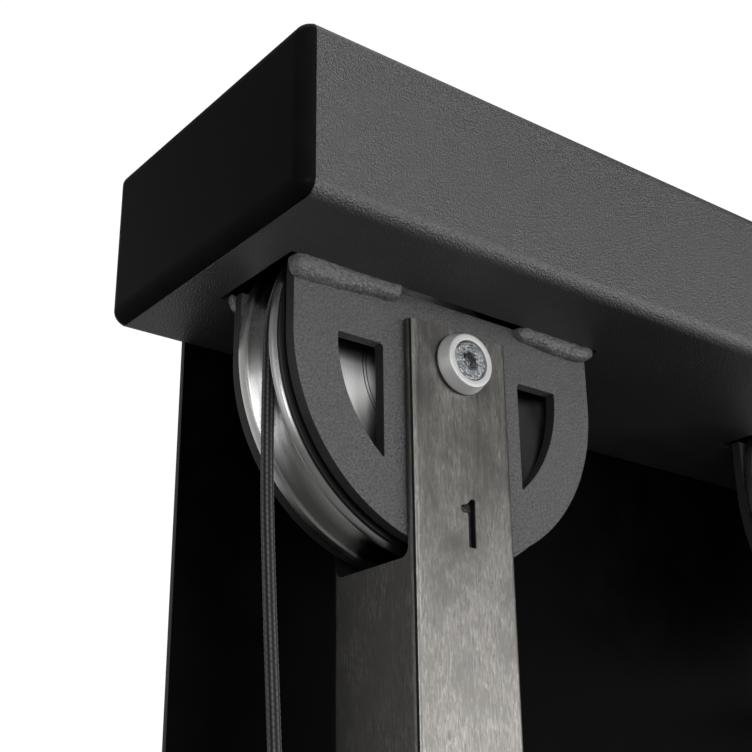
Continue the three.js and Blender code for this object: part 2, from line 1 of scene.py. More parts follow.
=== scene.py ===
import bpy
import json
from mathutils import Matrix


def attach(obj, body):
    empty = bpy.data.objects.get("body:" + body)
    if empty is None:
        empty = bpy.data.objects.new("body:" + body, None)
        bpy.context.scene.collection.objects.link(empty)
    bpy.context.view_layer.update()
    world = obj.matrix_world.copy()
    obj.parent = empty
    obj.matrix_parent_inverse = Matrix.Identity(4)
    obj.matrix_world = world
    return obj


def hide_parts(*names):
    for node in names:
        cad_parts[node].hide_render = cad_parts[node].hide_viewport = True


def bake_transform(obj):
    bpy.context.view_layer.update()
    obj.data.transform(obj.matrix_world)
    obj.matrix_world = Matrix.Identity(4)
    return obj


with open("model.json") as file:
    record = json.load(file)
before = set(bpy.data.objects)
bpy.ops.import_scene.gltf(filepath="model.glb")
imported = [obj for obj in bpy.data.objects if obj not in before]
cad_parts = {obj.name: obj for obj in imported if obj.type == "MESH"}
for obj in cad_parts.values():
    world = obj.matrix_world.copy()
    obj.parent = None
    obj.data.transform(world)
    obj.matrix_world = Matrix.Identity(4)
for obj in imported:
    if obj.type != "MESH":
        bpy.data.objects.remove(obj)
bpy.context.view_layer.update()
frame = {"record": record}

# Wall pulley weight stack. Row frame: X right, +Y into the wall, Z up, metres.
# The modelling functions below take millimetres.
import json
import math
import bpy
import bmesh
from mathutils import Vector, Matrix, noise
from mathutils.geometry import tessellate_polygon

BODY = {n: b for b, ns in frame["record"]["behaviour"]["bodies"].items() for n in ns}
MM = 0.001
ROPE_Y = -75.0

# --------------------------------------------------------------------- camera
AZ, EL, ROLL = math.radians(37.6526), math.radians(21.9624), math.radians(-0.6226)
view = Vector((math.sin(AZ) * math.cos(EL), math.cos(AZ) * math.cos(EL), math.sin(EL)))
right = view.cross(Vector((0, 0, 1))).normalized()
up = right.cross(view)
r2 = right * math.cos(ROLL) + up * math.sin(ROLL)
u2 = up * math.cos(ROLL) - right * math.sin(ROLL)
cam_data = bpy.data.cameras.new("camera")
cam_data.sensor_fit = "HORIZONTAL"
cam_data.sensor_width = 36.0
cam_data.lens = 63.363
cam_data.clip_start = 0.01
cam_data.clip_end = 50
cam = bpy.data.objects.new("camera", cam_data)
bpy.context.scene.collection.objects.link(cam)
rot = Matrix((r2, u2, -view)).transposed().to_4x4()
cam.matrix_world = Matrix.Translation((-0.315699, -0.455621, -0.195381)) @ rot
bpy.context.scene.camera = cam

# ------------------------------------------------------------------ materials
def material(name):
    m = bpy.data.materials.new(name)
    m.use_nodes = True
    nt = m.node_tree
    nt.nodes.clear()
    out = nt.nodes.new("ShaderNodeOutputMaterial")
    bsdf = nt.nodes.new("ShaderNodeBsdfPrincipled")
    nt.links.new(bsdf.outputs[0], out.inputs[0])
    return m, nt, bsdf


def node(nt, kind, **kw):
    n = nt.nodes.new(kind)
    for k, v in kw.items():
        setattr(n, k, v)
    return n


def coords(nt, scale=(1, 1, 1)):
    """object coordinates in millimetres, stretched by scale"""
    tc = node(nt, "ShaderNodeTexCoord")
    mp = node(nt, "ShaderNodeMapping")
    mp.inputs["Scale"].default_value = [s * 1000 for s in scale]
    nt.links.new(tc.outputs["Object"], mp.inputs["Vector"])
    return mp.outputs[0]


def noise_tex(nt, vec, scale, detail=3.0, rough=0.55, distortion=0.0):
    n = node(nt, "ShaderNodeTexNoise")
    n.inputs["Scale"].default_value = scale
    n.inputs["Detail"].default_value = detail
    n.inputs["Roughness"].default_value = rough
    n.inputs["Distortion"].default_value = distortion
    nt.links.new(vec, n.inputs["Vector"])
    return n.outputs["Fac"]


def remap(nt, value, a, b, lo, hi):
    n = node(nt, "ShaderNodeMapRange")
    n.clamp = True
    nt.links.new(value, n.inputs["Value"])
    n.inputs["From Min"].default_value = a
    n.inputs["From Max"].default_value = b
    n.inputs["To Min"].default_value = lo
    n.inputs["To Max"].default_value = hi
    return n.outputs[0]


def math_node(nt, op, a, b=None):
    n = node(nt, "ShaderNodeMath", operation=op)
    for i, v in enumerate((a, b)):
        if v is None:
            continue
        if isinstance(v, (int, float)):
            n.inputs[i].default_value = v
        else:
            nt.links.new(v, n.inputs[i])
    return n.outputs[0]


def mix_rgb(nt, fac, a, b):
    n = node(nt, "ShaderNodeMix", data_type="RGBA")
    if isinstance(fac, (int, float)):
        n.inputs[0].default_value = fac
    else:
        nt.links.new(fac, n.inputs[0])
    for i, v in ((6, a), (7, b)):
        if isinstance(v, (tuple, list)):
            n.inputs[i].default_value = (*v[:3], 1)
        else:
            nt.links.new(v, n.inputs[i])
    return n.outputs[2]


def bump(nt, bsdf, height, strength, distance, under=None):
    n = node(nt, "ShaderNodeBump")
    n.inputs["Strength"].default_value = strength
    n.inputs["Distance"].default_value = distance * MM
    nt.links.new(height, n.inputs["Height"])
    if under is not None:
        nt.links.new(under, n.inputs["Normal"])
    nt.links.new(n.outputs[0], bsdf.inputs["Normal"])
    return n.outputs[0]


def powder(name, colour, grain=0.6, rough=0.5, spec=0.5, mottle=0.12, strength=0.35, height=0.05):
    m, nt, b = material(name)
    v = coords(nt)
    fine = noise_tex(nt, v, 1.0 / grain, 2.0, 0.6)
    broad = noise_tex(nt, v, 0.03, 3.0, 0.5)
    speck = noise_tex(nt, v, 0.8 / grain, 1.0, 0.5)
    dark = tuple(c * (1 - mottle * 1.4) for c in colour)
    light = tuple(c * (1 + mottle * 1.4) for c in colour)
    base = mix_rgb(nt, remap(nt, speck, 0.3, 0.7, 0, 1), dark, light)
    tint = tuple(c * 0.86 for c in colour)
    base = mix_rgb(nt, remap(nt, broad, 0.35, 0.65, 0, 0.35), base, tint)
    nt.links.new(base, b.inputs["Base Color"])
    nt.links.new(remap(nt, broad, 0.3, 0.7, rough - 0.05, rough + 0.06), b.inputs["Roughness"])
    b.inputs["Specular IOR Level"].default_value = spec
    bump(nt, b, fine, strength, height)
    return m


def brushed(name, colour, axis=2, rough=0.38, streak=1.0, blotch=0.18):
    """metal brushed along one axis under a patchy, finely scuffed skin"""
    m, nt, b = material(name)
    s = [1.0, 1.0, 1.0]
    s[axis] = 0.045
    v = coords(nt, s)
    fine = noise_tex(nt, v, 2.4, 3.0, 0.65)
    wide = noise_tex(nt, v, 0.7, 2.0, 0.6)
    vb = coords(nt, (1, 1, 0.7) if axis == 2 else (1, 1, 1))
    cloud = noise_tex(nt, vb, 0.05, 4.0, 0.62, 0.4)
    scuff = noise_tex(nt, coords(nt, (1, 1, 0.2) if axis == 2 else (1, 1, 1)), 1.1, 4.0, 0.7, 0.8)
    dark = tuple(c * (1 - blotch) for c in colour)
    light = tuple(min(1, c * (1 + blotch)) for c in colour)
    base = mix_rgb(nt, remap(nt, cloud, 0.36, 0.64, 0, 1), dark, light)
    base = mix_rgb(nt, remap(nt, fine, 0.3, 0.7, 0, 0.30 * streak), base, tuple(c * 0.68 for c in colour))
    patch = remap(nt, cloud, 0.40, 0.56, 0.25, 1.0)
    base = mix_rgb(nt, math_node(nt, "MULTIPLY", remap(nt, scuff, 0.50, 0.66, 0, 1.0), patch), base, tuple(min(1, c * 1.6) for c in colour))
    base = mix_rgb(nt, math_node(nt, "MULTIPLY", remap(nt, scuff, 0.32, 0.47, 0.85, 0), patch), base, tuple(c * 0.6 for c in colour))
    nt.links.new(base, b.inputs["Base Color"])
    b.inputs["Metallic"].default_value = 1.0
    r = math_node(nt, "ADD", remap(nt, wide, 0.3, 0.7, rough - 0.04, rough + 0.05),
                  remap(nt, cloud, 0.3, 0.7, -0.03, 0.04))
    nt.links.new(r, b.inputs["Roughness"])
    height = math_node(nt, "ADD", math_node(nt, "MULTIPLY", fine, 0.45), math_node(nt, "MULTIPLY", scuff, 0.55))
    bump(nt, b, height, 0.32 * streak, 0.04)
    return m


def turned_metal(name, colour, axis="Y", rough=0.16, aniso=0.6, rings=1.0, metallic=1.0, flank_shade=None):
    """metal finished on a lathe: concentric tool lines round the object's own axis;
    flank darkens the colour of the steep sides of a groove: painted shade on the groove's flanks"""
    m, nt, b = material(name)
    tc = node(nt, "ShaderNodeTexCoord")
    sep = node(nt, "ShaderNodeSeparateXYZ")
    nt.links.new(tc.outputs["Object"], sep.inputs[0])
    x, y, z = sep.outputs
    pair = {"X": (y, z, x), "Y": (x, z, y), "Z": (x, y, z)}[axis]
    r = math_node(nt, "SQRT", math_node(nt, "ADD", math_node(nt, "MULTIPLY", pair[0], pair[0]),
                                        math_node(nt, "MULTIPLY", pair[1], pair[1])))
    w = math_node(nt, "ADD", math_node(nt, "MULTIPLY", r, 1000.0), math_node(nt, "MULTIPLY", pair[2], 730.0))
    line = node(nt, "ShaderNodeTexNoise", noise_dimensions="1D")
    line.inputs["Scale"].default_value = 2.6
    line.inputs["Detail"].default_value = 3.0
    nt.links.new(w, line.inputs["W"])
    wide = node(nt, "ShaderNodeTexNoise", noise_dimensions="1D")
    wide.inputs["Scale"].default_value = 0.35
    wide.inputs["Detail"].default_value = 1.0
    nt.links.new(w, wide.inputs["W"])
    smudge = noise_tex(nt, coords(nt), 0.06, 3.0, 0.6, 0.3)
    base = mix_rgb(nt, remap(nt, line.outputs["Fac"], 0.3, 0.7, 0, 0.3 * rings), colour, tuple(c * 0.72 for c in colour))
    base = mix_rgb(nt, remap(nt, smudge, 0.5, 0.75, 0, 0.25), base, tuple(c * 0.8 for c in colour))
    # painted shade: the colour of the groove's steep sides is darkened
    if flank_shade:
        off = math_node(nt, "ABSOLUTE", pair[2], 0.0)
        dull = math_node(nt, "MULTIPLY", remap(nt, off, 0.0022, 0.0056, 0, 1), remap(nt, off, 0.0073, 0.0079, 1, 0))
        base = mix_rgb(nt, dull, base, tuple(c * flank_shade for c in colour))
    nt.links.new(base, b.inputs["Base Color"])
    b.inputs["Metallic"].default_value = metallic
    b.inputs["Anisotropic"].default_value = aniso
    b.inputs["Anisotropic Rotation"].default_value = 0.25
    tan = node(nt, "ShaderNodeTangent", direction_type="RADIAL", axis=axis)
    nt.links.new(tan.outputs[0], b.inputs["Tangent"])
    rr = math_node(nt, "ADD", remap(nt, wide.outputs["Fac"], 0.3, 0.7, rough - 0.03, rough + 0.04),
                   remap(nt, smudge, 0.4, 0.7, 0.0, 0.06))
    nt.links.new(rr, b.inputs["Roughness"])
    bump(nt, b, line.outputs["Fac"], 0.12 * rings, 0.012)
    return m


def plastic(name, colour, rough=0.4, grain=0.35, strength=0.1, spec=0.5):
    m, nt, b = material(name)
    v = coords(nt)
    fine = noise_tex(nt, v, 1 / grain, 2.0, 0.5)
    broad = noise_tex(nt, v, 0.05, 3.0, 0.55)
    base = mix_rgb(nt, remap(nt, broad, 0.35, 0.7, 0, 0.5), colour, tuple(c * 1.5 + 0.002 for c in colour))
    nt.links.new(base, b.inputs["Base Color"])
    nt.links.new(remap(nt, broad, 0.3, 0.7, rough - 0.05, rough + 0.08), b.inputs["Roughness"])
    b.inputs["Specular IOR Level"].default_value = spec
    bump(nt, b, fine, strength, 0.03)
    return m


def plated(name, colour, rough=0.2, haze=0.05):
    """bright plating over drawn steel: almost even, with a faint haze"""
    m, nt, b = material(name)
    v = coords(nt)
    broad = noise_tex(nt, v, 0.025, 3.0, 0.5)
    fine = noise_tex(nt, v, 1.2, 3.0, 0.6)
    base = mix_rgb(nt, remap(nt, broad, 0.35, 0.7, 0, 0.35), colour, tuple(c * 0.88 for c in colour))
    nt.links.new(base, b.inputs["Base Color"])
    b.inputs["Metallic"].default_value = 1.0
    r = math_node(nt, "ADD", remap(nt, broad, 0.3, 0.7, rough - haze, rough + haze), remap(nt, fine, 0.4, 0.7, 0.0, 0.04))
    nt.links.new(r, b.inputs["Roughness"])
    bump(nt, b, broad, 0.05, 0.05)
    return m


def forged(name, colour, rough=0.24):
    """a head left as forged and blued: facets that glint between dull ones"""
    m, nt, b = material(name)
    v = coords(nt)
    lumps = noise_tex(nt, v, 0.75, 3.0, 0.62, 0.5)
    fine = noise_tex(nt, v, 3.0, 2.0, 0.6)
    dark = tuple(c * 0.30 for c in colour)
    base = mix_rgb(nt, remap(nt, lumps, 0.40, 0.62, 0, 1), dark, colour)
    nt.links.new(base, b.inputs["Base Color"])
    b.inputs["Metallic"].default_value = 0.8
    nt.links.new(remap(nt, fine, 0.3, 0.7, rough - 0.08, rough + 0.12), b.inputs["Roughness"])
    bump(nt, b, math_node(nt, "ADD", lumps, math_node(nt, "MULTIPLY", fine, 0.15)), 1.0, 0.5)
    return m


def fibre(name, colour, lift=3.0, rough=0.75, crease_shade=True):
    """braided cord: painted shade darkens the colour between the yarns, leaving the crowns paler; fine fibres over
    both
    """
    m, nt, b = material(name)
    v = coords(nt)
    fine = noise_tex(nt, v, 4.0, 2.0, 0.6)
    fluff = noise_tex(nt, v, 0.5, 3.0, 0.6)
    pale = tuple(c * lift for c in colour)
    base = mix_rgb(nt, remap(nt, fine, 0.3, 0.7, 0, 0.55), pale, colour)
    base = mix_rgb(nt, remap(nt, fluff, 0.42, 0.7, 0, 0.4), base, colour)
    if crease_shade:
        # painted shade: colour falls to a tenth in the hollows between the yarns, read from the crown attribute
        at = node(nt, "ShaderNodeAttribute")
        at.attribute_name = "crown"
        base = mix_rgb(nt, remap(nt, at.outputs["Fac"], 0.22, 0.85, 0, 1), tuple(c * 0.10 for c in colour), base)
    nt.links.new(base, b.inputs["Base Color"])
    nt.links.new(remap(nt, fine, 0.3, 0.7, rough - 0.1, rough + 0.1), b.inputs["Roughness"])
    b.inputs["Sheen Weight"].default_value = 0.2
    b.inputs["Sheen Roughness"].default_value = 0.4
    b.inputs["Specular IOR Level"].default_value = 0.35
    bump(nt, b, fine, 0.6, 0.08)
    return m


M = {
    "powder_grey": powder("powder_grey", (0.036, 0.0355, 0.036), grain=0.75, rough=0.34, spec=0.95, mottle=0.20, strength=1.0, height=0.62),
    "powder_light": powder("powder_light", (0.114, 0.114, 0.117), grain=0.72, rough=0.5, mottle=0.30, strength=1.0, height=1.5),
    # the cheeks' light grey paint, lifted a little as painted light in place of light from high in front
    "weld": powder("weld", (0.125, 0.125, 0.128), grain=1.1, rough=0.42, spec=0.7, mottle=0.25, strength=1.0, height=0.9),
    # painted shade: a far darker copy of the cheek powder for the cheeks' side faces
    "powder_shaded_edge": powder("powder_shaded_edge", (0.022, 0.022, 0.023), grain=0.8, rough=0.55, spec=0.3, mottle=0.2, strength=0.6, height=0.3),
    "cap_plastic": plastic("cap_plastic", (0.004, 0.004, 0.0043), rough=0.38, spec=0.02),
    "brushed": brushed("brushed", (0.182, 0.176, 0.167), axis=2, rough=0.34, blotch=0.20),
    # painted shade: a darker copy of the brushed rail metal for the rail's left sides
    "brushed_shaded_side": brushed("brushed_shaded_side", (0.150, 0.147, 0.142), axis=2, rough=0.36, blotch=0.08),
    "collar": turned_metal("collar", (0.66, 0.66, 0.66), rough=0.36, aniso=0.3, rings=2.2, metallic=0.35),
    # the flank factor here paints shade on the steep sides of the sheave groove
    "polished": turned_metal("polished", (0.66, 0.66, 0.655), rough=0.25, aniso=0.6, rings=2.0, flank_shade=0.34),
    "web": turned_metal("web", (0.66, 0.66, 0.655), rough=0.5, aniso=0.9, rings=2.5),
    # painted shade: a dark copy of the polished sheave metal for the rim sides and the outer web
    "shaded_rim_side": turned_metal("shaded_rim_side", (0.05, 0.05, 0.05), rough=0.4, aniso=0.3),
    "polished_x": turned_metal("polished_x", (0.62, 0.62, 0.62), axis="X", rough=0.2, aniso=0.6, rings=1.5),
    "zinc": plated("zinc", (0.50, 0.50, 0.51), rough=0.27),
    "chrome": plated("chrome", (0.72, 0.72, 0.725), rough=0.13, haze=0.03),
    "panel_back": powder("panel_back", (0.060, 0.059, 0.057), grain=1.4, rough=0.7, spec=0.2, mottle=0.25, strength=0.5, height=0.12),
    "forged": forged("forged", (0.42, 0.44, 0.455)),
    "panel": plastic("panel", (0.0009, 0.0009, 0.0009), rough=0.5, grain=0.5, strength=0.05, spec=0.02),
    "panel_edge": plastic("panel_edge", (0.022, 0.021, 0.02), rough=0.6, grain=0.5, strength=0.1),
    # painted shade: near black for the walls inside the hollow rail and in the numeral cuts
    "scale": plastic("scale", (0.006, 0.006, 0.006), rough=0.7, grain=0.5, strength=0.2, spec=0.1),
    "rope": fibre("rope", (0.035, 0.035, 0.037), lift=3.6),
    "rubber": plastic("rubber", (0.012, 0.012, 0.012), rough=0.62, grain=0.5, strength=0.35),
    "plate": powder("plate", (0.026, 0.026, 0.027), grain=1.1, rough=0.5, mottle=0.15, strength=0.6, height=0.12),
    "webbing": fibre("webbing", (0.014, 0.014, 0.015), crease_shade=False),
    "knob_red": plastic("knob_red", (0.42, 0.018, 0.014), rough=0.3),
}

# ------------------------------------------------------------ modelling tools
def finish_mesh(name, verts, faces, mat, centre=(0, 0, 0), angle=32, wn=True, recalc=True, scale=MM):
    """verts in millimetres about centre, which becomes the object's own origin"""
    me = bpy.data.meshes.new(name)
    me.from_pydata([(v[0] * scale, v[1] * scale, v[2] * scale) for v in verts], [], faces)
    me.update()
    bm = bmesh.new()
    bm.from_mesh(me)
    bmesh.ops.remove_doubles(bm, verts=bm.verts, dist=1e-6)
    bmesh.ops.dissolve_degenerate(bm, edges=bm.edges, dist=1e-7)
    if recalc:
        bmesh.ops.recalc_face_normals(bm, faces=bm.faces)
    bm.to_mesh(me)
    bm.free()
    ob = bpy.data.objects.new(name, me)
    bpy.context.scene.collection.objects.link(ob)
    ob.location = [c * MM for c in centre]
    smooth(ob, angle, wn)
    if mat is not None:
        me.materials.append(mat)
    return ob


def smooth(ob, angle=32, wn=True):
    me = ob.data
    me.polygons.foreach_set("use_smooth", [True] * len(me.polygons))
    me.set_sharp_from_angle(angle=math.radians(angle))
    if wn:
        w = ob.modifiers.new("weighted", "WEIGHTED_NORMAL")
        w.keep_sharp = True
        w.weight = 60


def stand(ob, cad_node, *more):
    """ob stands for a CAD node and rides on its body"""
    bpy.context.view_layer.update()
    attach(ob, BODY[cad_node])
    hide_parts(cad_node, *more)
    return ob


def ride_as(ob, cad_node):
    bpy.context.view_layer.update()
    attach(ob, BODY[cad_node])
    return ob


def apply_mods(ob):
    dg = bpy.context.evaluated_depsgraph_get()
    me = bpy.data.meshes.new_from_object(ob.evaluated_get(dg))
    old = ob.data
    ob.modifiers.clear()
    ob.data = me
    bpy.data.meshes.remove(old)


def boolean(ob, tools, op="DIFFERENCE"):
    for m_ in list(ob.modifiers):
        ob.modifiers.remove(m_)
    for t in tools:
        for m_ in list(t.modifiers):
            t.modifiers.remove(m_)
        b = ob.modifiers.new("cut", "BOOLEAN")
        b.operation = op
        b.object = t
        b.solver = "EXACT"
        b.use_self = False
        bpy.context.view_layer.update()
        apply_mods(ob)
        bpy.data.objects.remove(t)
    return ob


def arc(cx, cy, r, a0, a1, n):
    return [(cx + r * math.cos(math.radians(a0 + (a1 - a0) * i / n)),
             cy + r * math.sin(math.radians(a0 + (a1 - a0) * i / n))) for i in range(n + 1)]


def circle(cx, cy, r, n=48, turn=0):
    return arc(cx, cy, r, turn, turn + 360, n)[:-1]


def round_rect(x0, x1, y0, y1, r, n=8):
    return (arc(x1 - r, y1 - r, r, 0, 90, n) + arc(x0 + r, y1 - r, r, 90, 180, n)
            + arc(x0 + r, y0 + r, r, 180, 270, n) + arc(x1 - r, y0 + r, r, 270, 360, n))


def fillet(points, n=5):
    """closed outline of (x, y, radius): each corner is rounded by its radius"""
    out = []
    k = len(points)
    for i in range(k):
        p = Vector(points[i][:2])
        rad = points[i][2] if len(points[i]) > 2 else 0
        if rad <= 0:
            out.append(tuple(p))
            continue
        a = (Vector(points[i - 1][:2]) - p)
        b = (Vector(points[(i + 1) % k][:2]) - p)
        la, lb = a.length, b.length
        a.normalize(); b.normalize()
        ang = a.angle(b)
        t = min(rad / math.tan(ang / 2), la * 0.499, lb * 0.499)
        rr = t * math.tan(ang / 2)
        c = p + (a + b).normalized() * (rr / math.sin(ang / 2))
        p0, p1 = p + a * t - c, p + b * t - c
        th0 = math.atan2(p0.y, p0.x)
        d = math.atan2(p1.y, p1.x) - th0
        d = (d + math.pi) % (2 * math.pi) - math.pi
        for j in range(n + 1):
            th = th0 + d * j / n
            out.append((c.x + rr * math.cos(th), c.y + rr * math.sin(th)))
    return out


def area2(poly):
    return sum(poly[i - 1][0] * poly[i][1] - poly[i][0] * poly[i - 1][1] for i in range(len(poly)))


def clean(poly):
    out = []
    for p in poly:
        if not out or (abs(p[0] - out[-1][0]) + abs(p[1] - out[-1][1])) > 1e-4:
            out.append(tuple(p[:2]))
    if (abs(out[0][0] - out[-1][0]) + abs(out[0][1] - out[-1][1])) < 1e-4:
        out.pop()
    return out


def offset(poly, d):
    """each point moved by d to the left of the outline's run"""
    n, out = len(poly), []
    for i in range(n):
        p0, p, p1 = Vector(poly[i - 1]), Vector(poly[i]), Vector(poly[(i + 1) % n])
        e0, e1 = (p - p0).normalized(), (p1 - p).normalized()
        b = Vector((-e0.y - e1.y, e0.x + e1.x))
        out.append(tuple(p + b * (d / max(b.length_squared / 2, 0.35))))
    return out


AXES = {"X": lambda u, v, w: (w, u, v), "Y": lambda u, v, w: (u, w, v), "Z": lambda u, v, w: (u, v, w)}


def prism(name, outer, a0, a1, mat=None, holes=(), axis="Y", bevel=0.4, seg=3, centre=(0, 0, 0), angle=32, wn=True):
    """a plate with rounded edges; outlines are (x, z), (y, z) or (x, y)"""
    loops = [clean(outer)] + [clean(h) for h in holes]
    for i, lp in enumerate(loops):
        if (area2(lp) > 0) != (i == 0):
            lp.reverse()
    if bevel > 0:
        ring = []
        for s in range(seg + 1):
            t = math.pi / 2 * s / seg
            ring.append((bevel * (1 - math.sin(t)), a0 + bevel * (1 - math.cos(t))))
        ring += [(o, a0 + a1 - w) for o, w in reversed(ring)]
    else:
        ring = [(0, a0), (0, a1)]
    put = AXES[axis]
    verts, faces, start = [], [], []
    total = sum(len(lp) for lp in loops)
    for o, w in ring:
        for lp in loops:
            for p in (offset(lp, o) if o > 0 else lp):
                verts.append(put(p[0], p[1], w))
    base = 0
    for lp in loops:
        n = len(lp)
        for k in range(len(ring) - 1):
            for i in range(n):
                j = (i + 1) % n
                a = k * total + base + i
                b = k * total + base + j
                faces.append((a, b, b + total, a + total))
        base += n
    tri = tessellate_polygon([[Vector((p[0], p[1], 0)) for p in (offset(lp, ring[0][0]) if ring[0][0] > 0 else lp)] for lp in loops])
    last = (len(ring) - 1) * total
    for t in tri:
        faces.append(tuple(reversed(t)))
        faces.append(tuple(last + i for i in t))
    return finish_mesh(name, verts, faces, mat, centre, angle, wn)


def revolve(name, profile, n=96, mat=None, axis="Y", centre=(0, 0, 0), angle=30, wn=False, closed=True):
    """profile of (radius, axial) about the axis through centre"""
    pr = clean(profile)
    verts, faces, rows = [], [], []
    for r, a in pr:
        row = []
        if r < 1e-6:
            row = [len(verts)] * n
            verts.append({"X": (a, 0, 0), "Y": (0, a, 0), "Z": (0, 0, a)}[axis])
        else:
            for i in range(n):
                t = 2 * math.pi * i / n
                u, v = r * math.cos(t), r * math.sin(t)
                row.append(len(verts))
                verts.append({"X": (a, u, v), "Y": (u, a, v), "Z": (u, v, a)}[axis])
        rows.append(row)
    m = len(rows)
    for k in range(m if closed else m - 1):
        r0, r1 = rows[k], rows[(k + 1) % m]
        for i in range(n):
            j = (i + 1) % n
            f = []
            for q in (r0[i], r0[j], r1[j], r1[i]):
                if q not in f:
                    f.append(q)
            if len(f) > 2:
                faces.append(f)
    return finish_mesh(name, verts, faces, mat, centre, angle, wn)


def frames(points):
    """tangent, side and up at each point of a path, without twist"""
    n = len(points)
    tan = []
    for i in range(n):
        a, b = points[max(0, i - 1)], points[min(n - 1, i + 1)]
        tan.append((b - a).normalized())
    ref = Vector((0, 1, 0)) if abs(tan[0].y) < 0.9 else Vector((1, 0, 0))
    side = (ref - tan[0] * ref.dot(tan[0])).normalized()
    out = []
    for t in tan:
        side = (side - t * side.dot(t)).normalized()
        out.append((t, side, t.cross(side)))
    return out


def resample(points, step):
    pts = [Vector(p) for p in points]
    d = [0.0]
    for a, b in zip(pts, pts[1:]):
        d.append(d[-1] + (b - a).length)
    n = max(2, int(round(d[-1] / step)))
    out, k = [], 0
    for i in range(n + 1):
        s = d[-1] * i / n
        while k < len(d) - 2 and d[k + 1] < s:
            k += 1
        f = (s - d[k]) / max(1e-9, d[k + 1] - d[k])
        out.append(pts[k].lerp(pts[k + 1], min(1, max(0, f))))
    return out, d[-1]


def rope(name, points, step=0.8, sides=32, r=2.4, amp=0.42, phase=0.0, caps=True, face=(-0.6, -0.8, 0.0)):
    """solid braid: eight rows of short stitches along the cord, neighbours half a stitch apart"""
    pts, length = resample(points, step)
    fr = frames(pts)
    verts, faces, crown = [], [], []
    pitch = 2.15
    t0, s0, u0 = fr[0]
    turn = math.atan2(Vector(face).dot(u0), Vector(face).dot(s0))
    for i, (p, (t, s, u)) in enumerate(zip(pts, fr)):
        z = (length * i / (len(pts) - 1)) / pitch + phase
        for j in range(sides):
            th = 2 * math.pi * j / sides
            row = 8 * j / sides
            k = round(row)
            across = math.cos(math.pi * (row - k)) ** 2
            along = abs(math.sin(math.pi * (z + 0.5 * (k % 2) + 0.35 * (row - k))))
            h = across * (0.35 + 0.65 * along ** 0.7)
            rr = r - amp + amp * math.sqrt(h)
            crown.append(h)
            verts.append(p + s * (rr * math.cos(th + turn)) + u * (rr * math.sin(th + turn)))
    m = len(pts)
    for i in range(m - 1):
        for j in range(sides):
            k = (j + 1) % sides
            faces.append((i * sides + j, i * sides + k, (i + 1) * sides + k, (i + 1) * sides + j))
    if caps:
        faces.append(tuple(range(sides)))
        faces.append(tuple((m - 1) * sides + j for j in range(sides)))
    ob = finish_mesh(name, verts, faces, M["rope"], angle=60, wn=False)
    # the crown height drives the painted shade between the yarns in the rope material
    if len(ob.data.vertices) == len(crown):
        at = ob.data.attributes.new("crown", "FLOAT", "POINT")
        at.data.foreach_set("value", crown)
    else:
        raise ValueError("the rope's points were merged")
    return ob


def bend_xz(cx, cz, r, a0, a1, n=40):
    return [(x, ROPE_Y, z) for x, z in arc(cx, cz, r, a0, a1, n)]


def cutter(outline, a0, a1, axis="Y", flare=0.0, depth=0.3, flare_at="low"):
    """boolean tool; a flare at the surface leaves a broken edge on the cut"""
    o = clean(outline)
    if area2(o) < 0:
        o.reverse()
    if flare <= 0:
        ob = prism("tool", o, a0, a1, None, axis=axis, bevel=0, wn=False)
        return ob
    s = 1 if flare_at == "low" else -1
    lo, hi = (a0, a1)
    surf = lo if s > 0 else hi
    rings = [(-flare * 2, surf - s * 1.0 * depth), (-flare, surf), (0, surf + s * depth), (0, hi if s > 0 else lo)]
    put = AXES[axis]
    verts, faces = [], []
    n = len(o)
    for off, w in rings:
        for p in (offset(o, off) if off else o):
            verts.append(put(p[0], p[1], w))
    for k in range(3):
        for i in range(n):
            j = (i + 1) % n
            faces.append((k * n + i, k * n + j, (k + 1) * n + j, (k + 1) * n + i))
    tri = tessellate_polygon([[Vector((p[0], p[1], 0)) for p in o]])
    for t in tri:
        faces.append(tuple(t))
        faces.append(tuple(3 * n + i for i in t))
    return finish_mesh("tool", verts, faces, None, wn=False)

# ------------------------------------------------------------------- top beam
BX0, BX1, BZ0, BZ1 = -96.5, 545.0, 25.5, 95.5
tube = prism("top_beam_mesh", round_rect(-140, 0, BZ0, BZ1, 6, 14), BX0, BX1, M["powder_grey"],
             holes=[round_rect(-136, -4, BZ0 + 4, BZ1 - 4, 2.2, 6)], axis="X", bevel=0.25, seg=2, angle=28)
cuts = []
for cx in (0.0, 300.0):
    cuts.append(cutter(fillet([(cx - 79.1, -100, 1.0), (cx + 79.1, -100, 1.0), (cx + 79.1, -50, 1.0), (cx - 79.1, -50, 1.0)], 4),
                       20, 31, axis="Z", flare=0.0))
for x in (-60, 510):
    cuts.append(cutter(circle(x, 60.5, 4.5, 40), -6, 1, axis="Y"))
boolean(tube, cuts)
smooth(tube, 28)
stand(tube, "top_beam")


